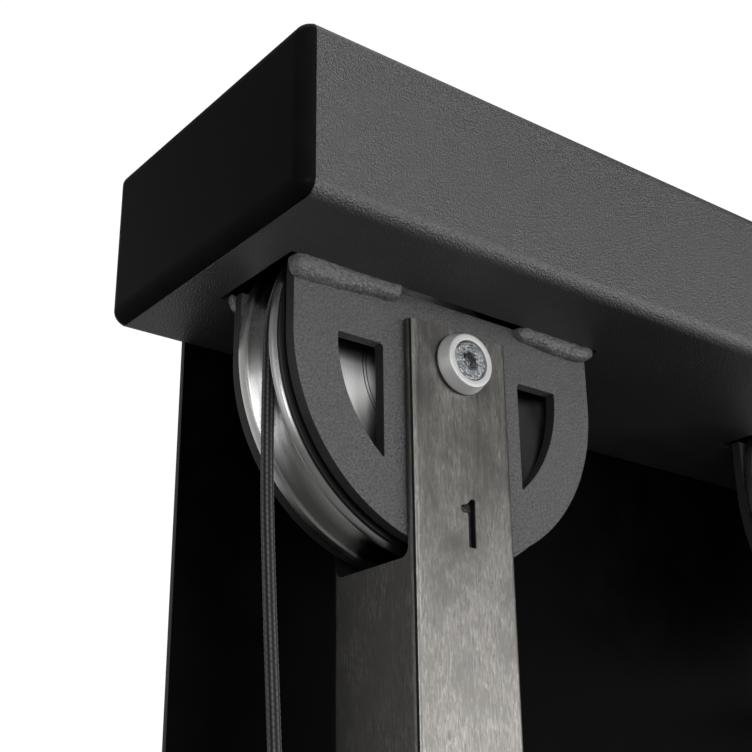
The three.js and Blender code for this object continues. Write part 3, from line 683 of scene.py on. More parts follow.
def end_cap(name, cad, x_face, side):
    """domed plate with a soft edge, and its plug; side is -1 on the left"""
    prof = [(5.2, 0.235), (4.6, 0.42), (4.0, 0.675), (3.2, 1.12), (2.5, 1.64), (1.8, 2.3), (1.2, 3.08), (0.8, 3.75), (0.5, 4.4), (0.22, 5.3), (0.06, 6.2), (0.0, 7.0)]
    n = 14
    rings = []

    def outline(inset):
        r = max(6.0 - inset, 0.8) if inset < 5.2 else 0.8 + (inset - 5.2) * 0.9
        return round_rect(-140 + inset, -inset, BZ0 + inset, BZ1 - inset, r, n)
    verts, faces = [], []
    plan = [(-12.4, 4.35), (-0.3, 4.35), (-0.3, 0.6), (-0.12, 0.26), (0.0, 0.235)]
    plan += [(5.2 - d, i) for d, i in prof]
    k = None
    for out_x, inset in plan:
        o = outline(inset)
        k = len(o)
        rings.append(len(verts))
        for y, z in o:
            verts.append((x_face + side * out_x, y, z))
    for a, b in zip(rings, rings[1:]):
        for i in range(k):
            j = (i + 1) % k
            faces.append((a + i, a + j, b + j, b + i))
    faces.append(tuple(rings[0] + i for i in range(k)))
    faces.append(tuple(rings[-1] + i for i in range(k)))
    ob = finish_mesh(name, verts, faces, M["cap_plastic"], angle=40)
    return stand(ob, cad)


end_cap("end_cap_left_mesh", "end_cap_left", -96.8, -1)
end_cap("end_cap_right_mesh", "end_cap_right", 545.3, 1)

# --------------------------------------------------------------------- cheeks
def cheek(name, cad, cx, y0):
    o = [(cx + 75, 25.8), (cx - 75, 25.8)] + [(cx + x, z) for x, z in arc(0, 0, 75, 180, 360, 120)]
    a = math.degrees(math.asin(1.9 / 55))
    b = math.degrees(math.acos(34.4 / 55))
    corner = [(x, z) for x, z in arc(0, 0, 55, -b, a, 40)]
    right_w = fillet([(34.4, 1.9, 1.6), (34.4, corner[0][1], 1.4)] + [(x, z, 0) for x, z in corner[1:-1]] + [(corner[-1][0], 1.9, 1.5)], 5)
    right_w = [(cx + x, z) for x, z in right_w]
    left_w = [(2 * cx - x, z) for x, z in reversed(right_w)]
    ob = prism(name, o, y0, y0 + 5, M["powder_light"], holes=[right_w, left_w, circle(cx, 0, 5.3, 40)],
               axis="Y", bevel=0.35, seg=3, angle=30)
    # the side faces of the cheek take the dark copy of its powder: painted shade
    ob.data.materials.append(M["powder_shaded_edge"])
    for f_ in ob.data.polygons:
        if abs(f_.normal.y) < 0.75 and not (f_.normal.z < -0.9 and abs(f_.center.z) < 3 * MM):
            f_.material_index = 1
    return stand(ob, cad)


cheek("front_cheek_1_mesh", "front_cheek_1", 0, -95.5)
cheek("rear_cheek_1_mesh", "rear_cheek_1", 0, -59.5)
cheek("front_cheek_2_mesh", "front_cheek_2", 300, -95.5)
cheek("rear_cheek_2_mesh", "rear_cheek_2", 300, -59.5)


def weld(name, cad, x0, x1, toe, top, seed, bulge=1.9, y_cheek=-95.2, s_y=-1, mate=None, z_top=25.6):
    """a hand-run fillet between a cheek and the beam: an uneven convex face with fine ripples and blunt ends;
    toe gives the height of the lower edge along the run, top the reach of the upper one"""
    n, k = int((x1 - x0) / 0.4), 26
    verts, faces = [], []

    def along(table, t):
        j = t * (len(table) - 1)
        i = min(int(j), len(table) - 2)
        f = j - i
        f = f * f * (3 - 2 * f)
        return table[i] * (1 - f) + table[i + 1] * f

    for i in range(n + 1):
        t = i / n
        x = x0 + (x1 - x0) * t
        d = min(x - x0, x1 - x)
        end = math.sqrt(max(0.0, 1 - (1 - min(1.0, d / 3.6)) ** 2))
        end = 0.30 + 0.70 * end
        zl = along(toe, t) + noise.noise(Vector((x * 0.35, 0, seed))) * 0.5
        yt = along(top, t) + noise.noise(Vector((x * 0.30, 5, seed))) * 0.5
        zl = z_top - (z_top - zl) * end
        reach = abs(yt - y_cheek) * end
        swell = bulge * end * (1 + 0.55 * noise.noise(Vector((x * 0.11, 3, seed))) + 0.25 * noise.noise(Vector((x * 0.33, 9, seed))))
        for j in range(k + 1):
            q = j / k
            y = y_cheek + s_y * reach * q
            z = zl + (z_top - zl) * q
            lump = noise.noise(Vector((x * 0.45, q * 4.0, seed * 2))) * 0.32 * math.sin(math.pi * q)
            rip = (abs(math.sin((x + 2.2 * math.sin(math.pi * q)) * 1.7)) - 0.5) * 0.13 * math.sin(math.pi * q)
            b_ = swell * math.sin(math.pi * q) ** 0.8 + (lump + rip) * end
            verts.append((x, y + s_y * b_ * 0.74, z - b_ * 0.67))
        verts.append((x, y_cheek - s_y * 0.6, z_top))
        verts.append((x, y_cheek - s_y * 0.6, zl + 0.4))
    k += 3
    for i in range(n):
        for j in range(k):
            q = (j + 1) % k
            faces.append((i * k + j, i * k + q, (i + 1) * k + q, (i + 1) * k + j))
    faces.append(tuple(range(k)))
    faces.append(tuple(n * k + j for j in range(k)))
    # the weld takes the lightened powder: its own light grey paint plus painted light
    ob = finish_mesh(name, verts, faces, M["weld"], angle=70, wn=False)
    if cad:
        stand(ob, cad)
    elif mate:
        ride_as(ob, mate)
    return ob


weld("weld_front_left_mesh", "weld_front_left", -77, -27, (18.2, 18.3, 18.8, 19.6, 20.4, 20.8), (-101.0, -101.0, -100.5, -100.5, -101.3), 1.0, bulge=2.2)
weld("weld_front_right_mesh", "weld_front_right", 34, 77.5, (21.2, 20.6, 19.6, 19.7, 21.6), (-100.0, -100.3, -100.2, -100.2, -100.2), 2.0, bulge=2.5)
weld("weld_rear_left_mesh", None, -77, -66, (19.0, 18.5, 19.5), (-51.0, -50.6, -51.0), 3.0, bulge=1.4, y_cheek=-54.8, s_y=1, mate="rear_cheek_1")
weld("weld_rear_right_mesh", None, 64, 76, (19.5, 18.7, 19.8), (-51.0, -50.6, -51.0), 4.0, bulge=1.4, y_cheek=-54.8, s_y=1, mate="rear_cheek_1")

# --------------------------------------------------------------------- sheaves
def big_sheave(name, cad, cx):
    def side(s):
        pts = [(13.15, s * 12.6), (13.6, s * 13.0), (17.4, s * 13.0), (18.0, s * 12.4), (18.6, s * 7.2), (19.8, s * 6.0),
               (31.3, s * 6.0), (31.55, s * 5.6), (31.8, s * 6.0), (32.7, s * 6.0), (32.95, s * 5.6), (33.2, s * 6.0), (44.6, s * 6.0), (46.0, s * 6.05), (46.9, s * 6.35)]
        for i in range(1, 10):
            t = i / 10
            r = 46.9 + (63.4 - 46.9) * t
            pts.append((r, s * (6.35 + (12.45 - 6.35) * (t ** 1.25))))
        pts += [(63.9, s * 12.75), (64.6, s * 12.97), (65.6, s * 13.0)]
        if s < 0:
            return pts + [(75.7, -13.0), (76.0, -12.88), (76.1, -12.6)]
        return pts + [(76.7, 13.0), (77.0, 12.9), (77.22, 12.68), (77.3, 12.4)]

    lo, hi = side(-1), side(1)
    gr = [(76.1, -11.5)]
    for i in range(7):
        a = math.radians(54 - 9 * i)
        gr.append((77.5 - 3.2 * (1 - math.cos(a)), -8.75 - 3.2 * math.sin(a)))
    gr += [(77.5, -8.5), (77.25, -8.0), (76.7, -7.6)]
    for i in range(1, 16):
        t = -1 + 2 * i / 16
        gr.append((69.0 + 7.75 * (abs(t) ** 1.6), 7.45 * t))
    gr += [(76.7, 7.6), (77.25, 8.0), (77.5, 8.5), (77.5, 9.0), (77.42, 9.2), (77.3, 9.35)]
    prof = lo + gr + list(reversed(hi))
    ob = revolve(name, prof, 256, M["polished"], "Y", (cx, ROPE_Y, 0), angle=38)
    ob.data.materials.append(M["web"])
    ob.data.materials.append(M["shaded_rim_side"])
    # rim sides and the outer web take the dark copy of the metal: painted shade
    for f_ in ob.data.polygons:
        r_ = math.hypot(f_.center.x, f_.center.z) / MM
        if (f_.center.y < -11.5 * MM and r_ > 64.5) or (abs(f_.center.y) > 12.4 * MM and r_ > 64.5 and r_ < 76.8):
            f_.material_index = 2
        elif abs(f_.normal.y) > 0.8 and r_ < 64.5 and abs(f_.center.y) > 5.9 * MM:
            f_.material_index = 2 if r_ > 40 else 1
        elif 46 < r_ < 64.5:
            f_.material_index = 2
    return stand(ob, cad)


big_sheave("top_sheave_mesh", "top_sheave", 0)
big_sheave("transfer_sheave_mesh", "transfer_sheave", 300)


def ring(name, cad, r0, r1, a0, a1, centre, mat, axis="Y", ch=0.4, n=64, also=None):
    o = fillet([(r0, a0, ch), (r1, a0, ch), (r1, a1, ch), (r0, a1, ch)], 3)
    ob = revolve(name, o, n, mat, axis, centre)
    return stand(ob, cad) if cad else (ride_as(ob, also) if also else ob)


ring("bearing_outer_mesh", "sheave_bearing", 10.6, 12.8, -12.7, 12.7, (0, ROPE_Y, 0), M["zinc"])
ring("bearing_inner_mesh", None, 5.6, 8.0, -12.7, 12.7, (0, ROPE_Y, 0), M["zinc"], also="sheave_bearing")
ring("bearing_seal_mesh", None, 7.9, 10.7, -12.2, 12.2, (0, ROPE_Y, 0), M["rubber"], also="sheave_bearing")
ring("transfer_bearing_mesh", None, 5.6, 13.3, -12.7, 12.7, (300, ROPE_Y, 0), M["zinc"], also="transfer_sheave")
ring("spacer_front_mesh", "spacer_front", 5.4, 9, -90.2, -88.3, (0, 0, 0), M["zinc"])
ring("spacer_rear_mesh", "spacer_rear", 5.4, 9, -61.7, -59.8, (0, 0, 0), M["zinc"])


def small_sheave(name, cad, centre, pitch, rim, half, hub, mat="polished", axis="Y", bore=5.4):
    root = pitch - 2.4 - 0.35
    lo = [(bore, -hub, 0.3)]
    if hub > half:
        lo += [(9, -hub, 0.6), (9, -half + 1.4, 0.8)]
    lo += [(rim - 5.5, -half + 1.4, 1.0), (rim - 4.6, -half, 0.5), (rim, -half, 0.7), (rim, -half + 2.2, 0.6)]
    if hub <= half:
        lo[0] = (bore, -half + 1.4, 0.3)
    gr = []
    for i in range(1, 12):
        t = -1 + 2 * i / 12
        gr.append((root + (rim - 0.8 - root) * (abs(t) ** 2.0), (half - 2.8) * t, 0))
    o = fillet(lo + gr + [(r, -a, f) for r, a, f in reversed(lo)], 4)
    ob = revolve(name, o, 128, M[mat], axis, centre, angle=38)
    return stand(ob, cad)


small_sheave("return_sheave_mesh", "return_sheave", (461.8, ROPE_Y, -18), 30, 35, 8, 12)
small_sheave("lift_pulley_mesh", "lift_pulley", (401.8, ROPE_Y, -1625), 30, 35, 8, 12)
small_sheave("base_sheave_left_mesh", "base_sheave_left", (-33, ROPE_Y, -1925), 25, 29, 8, 12)
small_sheave("base_sheave_right_mesh", "base_sheave_right", (466.8, ROPE_Y, -1925), 25, 29, 8, 12)
small_sheave("swivel_pulley_mesh", "swivel_pulley", (-58, -117, -490), 25, 28.2, 8, 8, "polished_x", "X", 4.4)

# --------------------------------------------------------------- axle hardware
def cap_screw(name, cad, centre, head_r, head_t, length, mat):
    prof = fillet([(0, 0, 0), (head_r, 0, 0.7), (head_r, head_t, 0.25), (5, head_t, 0.3), (5, length, 0.8), (0, length, 0)], 4)
    ob = revolve(name, prof, 72, mat, "Y", centre, closed=False)
    cx, cy, cz = centre
    t = cutter(circle(cx, cz, 3.7, 6, 24), cy - 1, cy + 3.8, axis="Y", flare=0.0)
    # the socket's mouth is eased by a shallow cone
    cone = revolve("tool", [(0, cy - 1), (4.9, cy - 1), (3.95, cy), (3.4, cy + 0.55), (0, cy + 0.55)], 48, None, "Y", (cx, 0, cz), closed=False)
    boolean(ob, [t, cone])
    smooth(ob, 30)
    return stand(ob, cad)


cap_screw("axle_screw_1_mesh", "axle_screw_1", (0, -106.1, 0), 7.9, 7.8, 66.1, M["forged"])
cap_screw("axle_screw_2_mesh", "axle_screw_2", (300, -102.8, 0), 8, 7, 56.6, M["forged"])
collar = revolve("axle_collar_mesh", fillet([
    (8.2, -106.5, 0.2), (10.75, -106.5, 0.6), (12.25, -101.7, 0.9), (12.25, -100.8, 0.15), (11.4, -100.8, 0.1), (11.4, -100.1, 0), (9.65, -100.1, 0), (9.65, -95.8, 0.3),
    (5.4, -95.8, 0.2), (5.4, -98, 0.2), (8.35, -98, 0.2)], 4), 128, M["collar"], "Y", (0, 0, 0))
stand(collar, "axle_collar")


def hex_nut(name, cad, x, z, y0, y1, mat, af=17.0):
    r = af / math.sqrt(3)
    ob = prism(name, circle(x, z, r, 6), y0, y1, mat, holes=[circle(x, z, 5.4, 40)], axis="Y", bevel=0.5, seg=2)
    return stand(ob, cad)


hex_nut("axle_nut_1_mesh", "axle_nut_1", 0, 0, -49.7, -41.7, M["zinc"])
hex_nut("axle_nut_2_mesh", "axle_nut_2", 300, 0, -54.2, -46.2, M["zinc"])

# ------------------------------------------------------------------ guide rail
RZ0, RZ1 = -1889.7, 14.2
rail = prism("guide_rail_mesh", round_rect(-25, 25, -100, -50, 3.0, 10), RZ0, RZ1, M["brushed"],
             holes=[round_rect(-22.5, 22.5, -97.5, -52.5, 0.9, 5)], axis="Z", bevel=0.2, seg=2, angle=28)
ONE = [(1.62, 9.1, 0.3), (2.9, 9.35, 0.5), (3.62, 8.8, 0.7), (3.42, 0.0, 0), (3.4, -9.1, 0.3), (0.05, -9.15, 0.4), (0.12, 3.2, 0.3),
       (-0.25, 3.85, 0.4), (-2.7, 3.85, 0.6), (-3.35, 4.6, 0.5), (-3.4, 5.7, 0.4), (-2.95, 6.25, 0.5), (-1.0, 6.75, 0.6), (0.3, 7.6, 0.8)]


def thick(points, w):
    """outline of a poly-line drawn w wide"""
    left, rgt = [], []
    n = len(points)
    for i in range(n):
        p = Vector(points[i])
        d0 = (p - Vector(points[i - 1])).normalized() if i else None
        d1 = (Vector(points[i + 1]) - p).normalized() if i < n - 1 else None
        d0, d1 = d0 or d1, d1 or d0
        nn = Vector((-d0.y - d1.y, d0.x + d1.x))
        off_ = nn * (w / 2 / max(nn.length_squared / 2, 0.4))
        left.append(tuple(p + off_))
        rgt.append(tuple(p - off_))
    return left + rgt[::-1]


B, HH, WW = 3.4, 9.7 - 1.7, 5.6 - 1.7
DIG = {
    2: [arc(0, HH - 4.0, 4.0, 160, -36, 14), [(3.5, HH - 5.9), (-WW, -HH + 0.2)], [(-WW - 1.4, -HH), (WW + 1.4, -HH)]],
    3: [[(-WW - 1.2, HH), (WW + 1.2, HH)], [(WW - 0.2, HH - 0.4), (-0.3, 1.5)], arc(-0.4, -HH + 4.3, 4.6, 88, -150, 16)],
    4: [[(1.5, HH + 1.5), (-WW - 0.6, -3.0)], [(-WW - 1.9, -2.6), (WW + 1.8, -2.6)], [(2.2, 2.4), (2.2, -HH - 1.6)]],
    5: [[(WW + 1.0, HH), (-WW + 0.2, HH)], [(-WW + 0.9, HH), (-WW + 0.5, 0.6)], arc(-0.3, -3.6, 4.5, 122, -150, 18)],
    6: [arc(3.4, -3.0, 7.3, 96, 172, 10), arc(0, -HH + 4.2, 4.2, 128, -176, 22)],
    7: [[(-WW - 1.2, HH), (WW + 1.4, HH)], [(WW, HH + 0.4), (-1.4, -HH - 1.5)]],
    8: [arc(0, 4.2, 3.8, -66, 246, 20), arc(0, -3.9, 4.3, 114, 426, 20)],
    9: [arc(-3.4, 3.0, 7.3, -84, -8, 10), arc(0, HH - 4.2, 4.2, -52, 4 + 248, 22)],
}


def digit(d, x, z):
    y0, y1 = -101.0, -97.0
    if d == 1:
        return [cutter([(px + x, pz + z) for px, pz in fillet(ONE, 4)], -100, y1, axis="Y", flare=0.22, depth=0.35)]
    if d == 0:
        la = [(x + px * 4.6, z + pz * 8.0) for px, pz in arc(0, 0, 1, 98, 262, 18)]
        ra = [(x + px * 4.6, z + pz * 8.0) for px, pz in arc(0, 0, 1, -82, 82, 18)]
        return [cutter(thick(la, B), y0, y1, axis="Y"), cutter(thick(ra, B), y0, y1, axis="Y")]
    return [cutter([(px + x, pz + z) for px, pz in thick(line, B)], y0, y1, axis="Y") for line in DIG[d]]


cuts = [cutter(fillet([(-96.6, -78.4, 4.0), (-52.5, -78.4, 4.0), (-52.5, 20, 0), (-96.6, 20, 0)], 6), -30, 30, axis="X"),
        cutter(circle(0, 0, 9.9, 64), -101, -96.5, axis="Y"),
        cutter(circle(0, 0, 5.5, 40), -54, -49, axis="Y")]
for i in range(10):
    zc = -62.8 - 150 * i
    if i < 9:
        cuts += digit(i + 1, 1.3 if i == 0 else 0, zc)
    else:
        cuts += digit(1, -8.5, zc) + digit(0, 6.5, zc)
    cuts.append(cutter(circle(-75, -190 - 150 * i, 5, 36), 20, 26, axis="X"))
boolean(rail, cuts)
rail.data.materials.append(M["scale"])
rail.data.materials.append(M["brushed_shaded_side"])
for f_ in rail.data.polygons:
    c_ = f_.center / MM
    n_ = f_.normal
    # faces inside the rail and on the numeral cut walls take the near-black material: painted shade
    if abs(c_.x) < 24.4 and -99.4 < c_.y < -50.6 and abs(c_.z + 938) < 950:
        f_.material_index = 1
    # faces turned to the left take the darker copy of the metal: painted shade
    elif f_.normal.x < -0.5:
        f_.material_index = 2
smooth(rail, 28)
stand(rail, "guide_rail")

# ------------------------------------------------------------------ back panel
panel = prism("back_panel_mesh", [(-67.7, -1889.7), (514, -1889.7), (514, 27.6), (-67.7, 27.6)], -3, 0, M["panel"], axis="Y", bevel=0.5, seg=2)
panel.data.materials.append(M["panel_edge"])
panel.data.materials.append(M["panel_back"])
for f_ in panel.data.polygons:
    if abs(f_.normal.y) < 0.5:
        f_.material_index = 1
    elif f_.normal.y > 0.5:
        f_.material_index = 2
stand(panel, "back_panel")

# ------------------------------------------------------------------------ base
base = prism("base_beam_mesh", round_rect(-140, 0, -1960, -1890, 6, 10), -96.5, 545, M["powder_grey"], axis="X", bevel=1.2, seg=3, angle=28)
cuts = [cutter(round_rect(-136, -4, -1956, -1894, 2, 3), -92.5, 541, axis="X"),
        cutter(round_rect(-66, -50, -83, -67, 7.9, 10), -1896, -1880, axis="Z"),
        cutter(round_rect(483.8, 499.8, -83, -67, 7.9, 10), -1896, -1880, axis="Z")]
for x, z in ((-33, -1925), (466.8, -1925)):
    cuts.append(cutter(circle(x, z, 5.4, 40), -145, 5, axis="Y"))
for x in (60, 400):
    cuts.append(cutter(circle(x, -1925, 4.5, 40), -6, 1, axis="Y"))
boolean(base, cuts)
smooth(base, 28)
stand(base, "base_beam")
for tag, x in (("left", -33), ("right", 466.8)):
    ob = revolve(f"base_axle_{tag}_mesh", fillet([(0, -144, 0), (9, -144, 1.6), (9, -140.3, 0.3), (5, -140.3, 0.2), (5, -91, 0.1), (7, -91, 0.4),
                 (7, -87.3, 0.4), (5, -87.3, 0.1), (5, -0.6, 0.6), (0, -0.6, 0)], 4), 56, M["zinc"], "Y", (x, 0, -1925), closed=False)
    stand(ob, f"base_axle_{tag}")

# ---------------------------------------------------------------- return sheave
rx, rz = 461.8, -18.0
ear = [(rx - 20, 20.55), (rx - 20, rz)] + arc(rx, rz, 14, 200, 340, 24) + [(rx + 20, rz), (rx + 20, 20.55)]
web = prism("return_bracket_mesh", round_rect(rx - 31.8, rx + 32.2, -92, -58, 3, 5), 20.5, 25.2, M["powder_light"], axis="Z", bevel=0.5)
e1 = prism("tool", ear, -92, -88, None, holes=[circle(rx, rz, 5.4, 36)], axis="Y", bevel=0.4)
e2 = prism("tool", ear, -62, -58, None, holes=[circle(rx, rz, 5.4, 36)], axis="Y", bevel=0.4)
boolean(web, [e1, e2], "UNION")
smooth(web, 30)
stand(web, "return_bracket")
ob = revolve("return_axle_mesh", fillet([(0, -97, 0), (8, -97, 1.6), (8, -92.3, 0.3), (5, -92.3, 0.2), (5, -54, 0.8), (0, -54, 0)], 4), 56, M["zinc"], "Y", (rx, 0, rz), closed=False)
stand(ob, "return_axle")

# ------------------------------------------------------------- rods and stack
SX, PW, PD, PT = 401.8, 80.0, 50.0, 25.0
for tag, x in (("left", SX - 62), ("right", SX + 62)):
    ob = revolve(f"guide_rod_{tag}_mesh", fillet([(0, RZ0, 0), (8, RZ0, 0.8), (8, -85, 1.2), (0, -85, 0)], 4), 56, M["chrome"], "Z", (x, ROPE_Y, 0), closed=False)
    stand(ob, f"guide_rod_{tag}")
head = prism("rod_head_plate_mesh", fillet([(325, -92, 3), (362, -92, 3), (362, -58, 3), (442, -58, 3), (442, -92, 3), (478, -92, 3), (478, -3.3, 1), (325, -3.3, 1)], 5),
             -100, -95, M["powder_light"], holes=[circle(SX - 62, ROPE_Y, 8.4, 44), circle(SX + 62, ROPE_Y, 8.4, 44)], axis="Z", bevel=0.4)
flange = prism("tool", fillet([(325, -130, 4), (478, -130, 4), (478, -97, 0.5), (325, -97, 0.5)], 5), -8, -3.3, None, axis="Y", bevel=0.4)
boolean(head, [flange], "UNION")
smooth(head, 30)
stand(head, "rod_head_plate")
ob = prism("stack_bumper_mesh", round_rect(SX - 82, SX + 82, -95, -55, 9, 10), RZ0, RZ0 + 19.7, M["rubber"],
           holes=[circle(SX - 62, ROPE_Y, 8.5, 44), circle(SX + 62, ROPE_Y, 8.5, 44)], axis="Z", bevel=1.6, seg=4)
stand(ob, "stack_bumper")


def plate_z(k):
    return -1869.6 + k * 25.4


def weight(name, cad, z0):
    ob = prism(name, round_rect(SX - PW, SX + PW, ROPE_Y - PD, ROPE_Y + PD, 5, 8), z0, z0 + PT, M["plate"],
               holes=[circle(SX, ROPE_Y, 11.9, 56), circle(SX - 62, ROPE_Y, 8.8, 44), circle(SX + 62, ROPE_Y, 8.8, 44)], axis="Z", bevel=1.5, seg=4)
    boolean(ob, [cutter(circle(SX, z0 + PT / 2, 4.7, 36), ROPE_Y - PD - 0.01, ROPE_Y - 6, axis="Y", flare=0.8, depth=0.8)])
    smooth(ob, 30)
    return stand(ob, cad)


for k in range(6):
    weight(f"weight_plate_{6 - k}_mesh", f"weight_plate_{6 - k}", plate_z(k))
weight("stack_top_plate_mesh", "stack_top_plate", plate_z(6))
stem = revolve("selector_stem_mesh", fillet([(0, -1866.6, 0), (11, -1866.6, 1.5), (11, -1692.5, 0.5), (0, -1692.5, 0)], 4), 64, M["chrome"], "Z", (SX, ROPE_Y, 0), closed=False)
boolean(stem, [cutter(circle(SX, plate_z(k) + 12.5, 4.6, 36), ROPE_Y - 15, ROPE_Y + 15, axis="Y") for k in range(6)])
smooth(stem, 30)
stand(stem, "selector_stem")

lx, lz, topz = SX, -1625.0, plate_z(6) + PT
yoke = prism("lift_yoke_mesh", round_rect(lx - 22.8, lx + 22.8, -93, -57, 3, 5), topz + 0.3, -1680, M["powder_light"], axis="Z", bevel=0.6)
ear = [(lx - 15, -1681)] + [(lx - 15, lz)] + arc(lx, lz, 15, 180, 0, 28) + [(lx + 15, -1681)]
parts_ = [prism("tool", ear, -92, -88, None, axis="Y", bevel=0.5), prism("tool", ear, -62, -58, None, axis="Y", bevel=0.5),
          revolve("tool", fillet([(0, -95, 0), (5, -95, 0.8), (5, -55, 0.8), (0, -55, 0)], 3), 48, None, "Y", (lx, 0, lz), closed=False)]
boolean(yoke, parts_, "UNION")
smooth(yoke, 30)
stand(yoke, "lift_yoke")

pin_z = plate_z(3) + 12.5
ob = revolve("selector_knob_mesh", fillet([(0, -166, 0), (8.6, -166, 2.2), (10, -162, 1.6), (10, -152, 1.6), (7.6, -149, 1.2), (0, -149, 0)], 6), 64, M["knob_red"], "Y", (SX, 0, pin_z), closed=False)
stand(ob, "selector_pin")
ob = revolve("selector_shaft_mesh", fillet([(0, -150, 0), (4, -150, 0), (4, -65.4, 1.2), (0, -63.6, 0)], 4), 48, M["chrome"], "Y", (SX, 0, pin_z), closed=False)
ride_as(ob, "selector_pin")

# -------------------------------------------------------------------- carriage
sx, sy = -58.0, -92.0
sleeve = prism("carriage_sleeve_mesh", round_rect(-32, 32, -107, -43, 5, 8), -545, -432, M["powder_grey"],
               holes=[round_rect(-25.6, 25.6, -100.6, -49.4, 3, 6)], axis="Z", bevel=1.0, seg=3)
lug = [(-30, sy - 14), (-30, sy + 14)] + arc(sx, sy, 14, 90, 270, 30)
low = [(-30, sy - 14), (-30, -66), (-62, -66)] + arc(-62, -70, 4, 90, 180, 5) + [(-66, sy + 11.49)] + arc(sx, sy, 14, 124.85, 270, 26)
boolean(sleeve, [prism("tool", lug, -446.7, -439, None, holes=[circle(sx, sy, 8.4, 44)], axis="Z", bevel=0.6),
                 prism("tool", low, -538, -530.3, None, holes=[circle(sx, sy, 6.4, 40)], axis="Z", bevel=0.6),
                 revolve("tool", fillet([(0, -560, 0), (7, -560, 1.2), (7, -536, 0), (0, -536, 0)], 4), 48, None, "Z", (sx, ROPE_Y, 0), closed=False),
                 revolve("tool", fillet([(3.6, 30.9, 0), (10, 30.9, 0), (9, 38, 0.8), (3.6, 38, 0.4)], 4), 48, None, "X", (0, ROPE_Y, -490))], "UNION")
boolean(sleeve, [cutter(circle(ROPE_Y, -490, 3.6, 40), 20, 50, axis="X")])
smooth(sleeve, 30)
stand(sleeve, "carriage_sleeve")
ob = revolve("plunger_knob_mesh", fillet([(0, 47, 0), (9, 47, 0.8), (12, 50, 1.5), (12, 62, 2.5), (9.5, 66, 1.5), (0, 66, 0)], 6), 64, M["cap_plastic"], "X", (0, ROPE_Y, -490), closed=False)
stand(ob, "index_plunger")
ob = revolve("plunger_pin_mesh", fillet([(0, 26.2, 0), (2.2, 26.2, 0.4), (3, 27.2, 0.3), (3, 48, 0), (0, 48, 0)], 4), 48, M["chrome"], "X", (0, ROPE_Y, -490), closed=False)
ride_as(ob, "index_plunger")

housing = prism("swivel_housing_mesh", round_rect(sx - 13, sx + 13, -530, -447, 3.5, 8), -148, -80, M["powder_light"],
                holes=[round_rect(sx - 10, sx + 10, -525, -452, 1.2, 4)], axis="Y", bevel=0.8, seg=3)
boolean(housing, [revolve("tool", fillet([(4.6, -452.5, 0), (8, -452.5, 0), (8, -436, 0.8), (4.6, -436, 1.0)], 4), 56, None, "Z", (sx, sy, 0)),
                  revolve("tool", fillet([(0, -541, 0), (6, -541, 0.8), (6, -526, 0), (0, -526, 0)], 4), 48, None, "Z", (sx, sy, 0), closed=False),
                  revolve("tool", [(0, sx - 11), (4, sx - 11), (4, sx + 11), (0, sx + 11)], 44, None, "X", (0, -117, -490), closed=False)], "UNION")
boolean(housing, [cutter(circle(sx, sy, 4.6, 44), -453, -430, axis="Z")])
smooth(housing, 30)
stand(housing, "swivel_housing")

# ---------------------------------------------------------------------- handle
def ball_profile(r, bore_r, depth, n=40):
    a1 = math.acos(bore_r / r)
    pts = [(r * math.cos(t), r * math.sin(t)) for t in [(-math.pi / 2) + (a1 + math.pi / 2) * i / n for i in range(n + 1)]]
    pts = [(max(0.0, p[0]), p[1]) for p in pts]
    pts += [(bore_r, 3.0), (bore_r - 0.5, 2.4), (0, 2.4)]
    return pts


ball = revolve("stopper_ball_mesh", ball_profile(13.5, 3.1, 12), 96, M["rubber"], "Y", (sx, -168, -515), closed=False, angle=40)
stand(ball, "stopper_ball")


def torus(name, centre, major, minor, mat, axis="X", n=72, k=24):
    verts, faces = [], []
    for i in range(n):
        t = 2 * math.pi * i / n
        for j in range(k):
            q = 2 * math.pi * j / k
            r = major + minor * math.cos(q)
            u, v, w = r * math.cos(t), r * math.sin(t), minor * math.sin(q)
            verts.append({"X": (w, u, v), "Y": (u, w, v), "Z": (u, v, w)}[axis])
    for i in range(n):
        for j in range(k):
            a, b = (i + 1) % n, (j + 1) % k
            faces.append((i * k + j, a * k + j, a * k + b, i * k + b))
    return finish_mesh(name, verts, faces, mat, centre, angle=50, wn=False)


eye = torus("rope_eye_mesh", (sx, -196, -515), 8.5, 2.9, M["zinc"])
stem_ = revolve("tool", fillet([(0, -188.6, 0), (4.2, -188.6, 0), (3.6, -182.1, 0.6), (0, -182.1, 0)], 4), 40, None, "Y", (sx, 0, -515), closed=False)
boolean(eye, [stem_], "UNION")
smooth(eye, 40, False)
stand(eye, "rope_eye")


def stadium(r, n=30):
    return arc(sx, -529.2, r, 0, 180, n) + arc(sx, -559.2, r, 180, 360, n)


link = prism("carabiner_mesh", stadium(14.5), -198.5, -193.5, M["zinc"], holes=[stadium(9.5)], axis="Y", bevel=1.9, seg=6, angle=60)
boolean(link, [cutter([(sx + 8, -536.2), (sx + 16, -535.8), (sx + 16, -536.5), (sx + 8, -536.9)], -200, -190, axis="Y")])
smooth(link, 40)
stand(link, "carabiner")
sleeve_nut = revolve("carabiner_gate_mesh", fillet([(2.9, -557, 0.4), (3.7, -557, 0.5), (3.7, -541, 0.5), (2.9, -541, 0.4)], 4), 6, M["zinc"], "Z", (sx + 12.0, -196, 0))
ride_as(sleeve_nut, "carabiner")


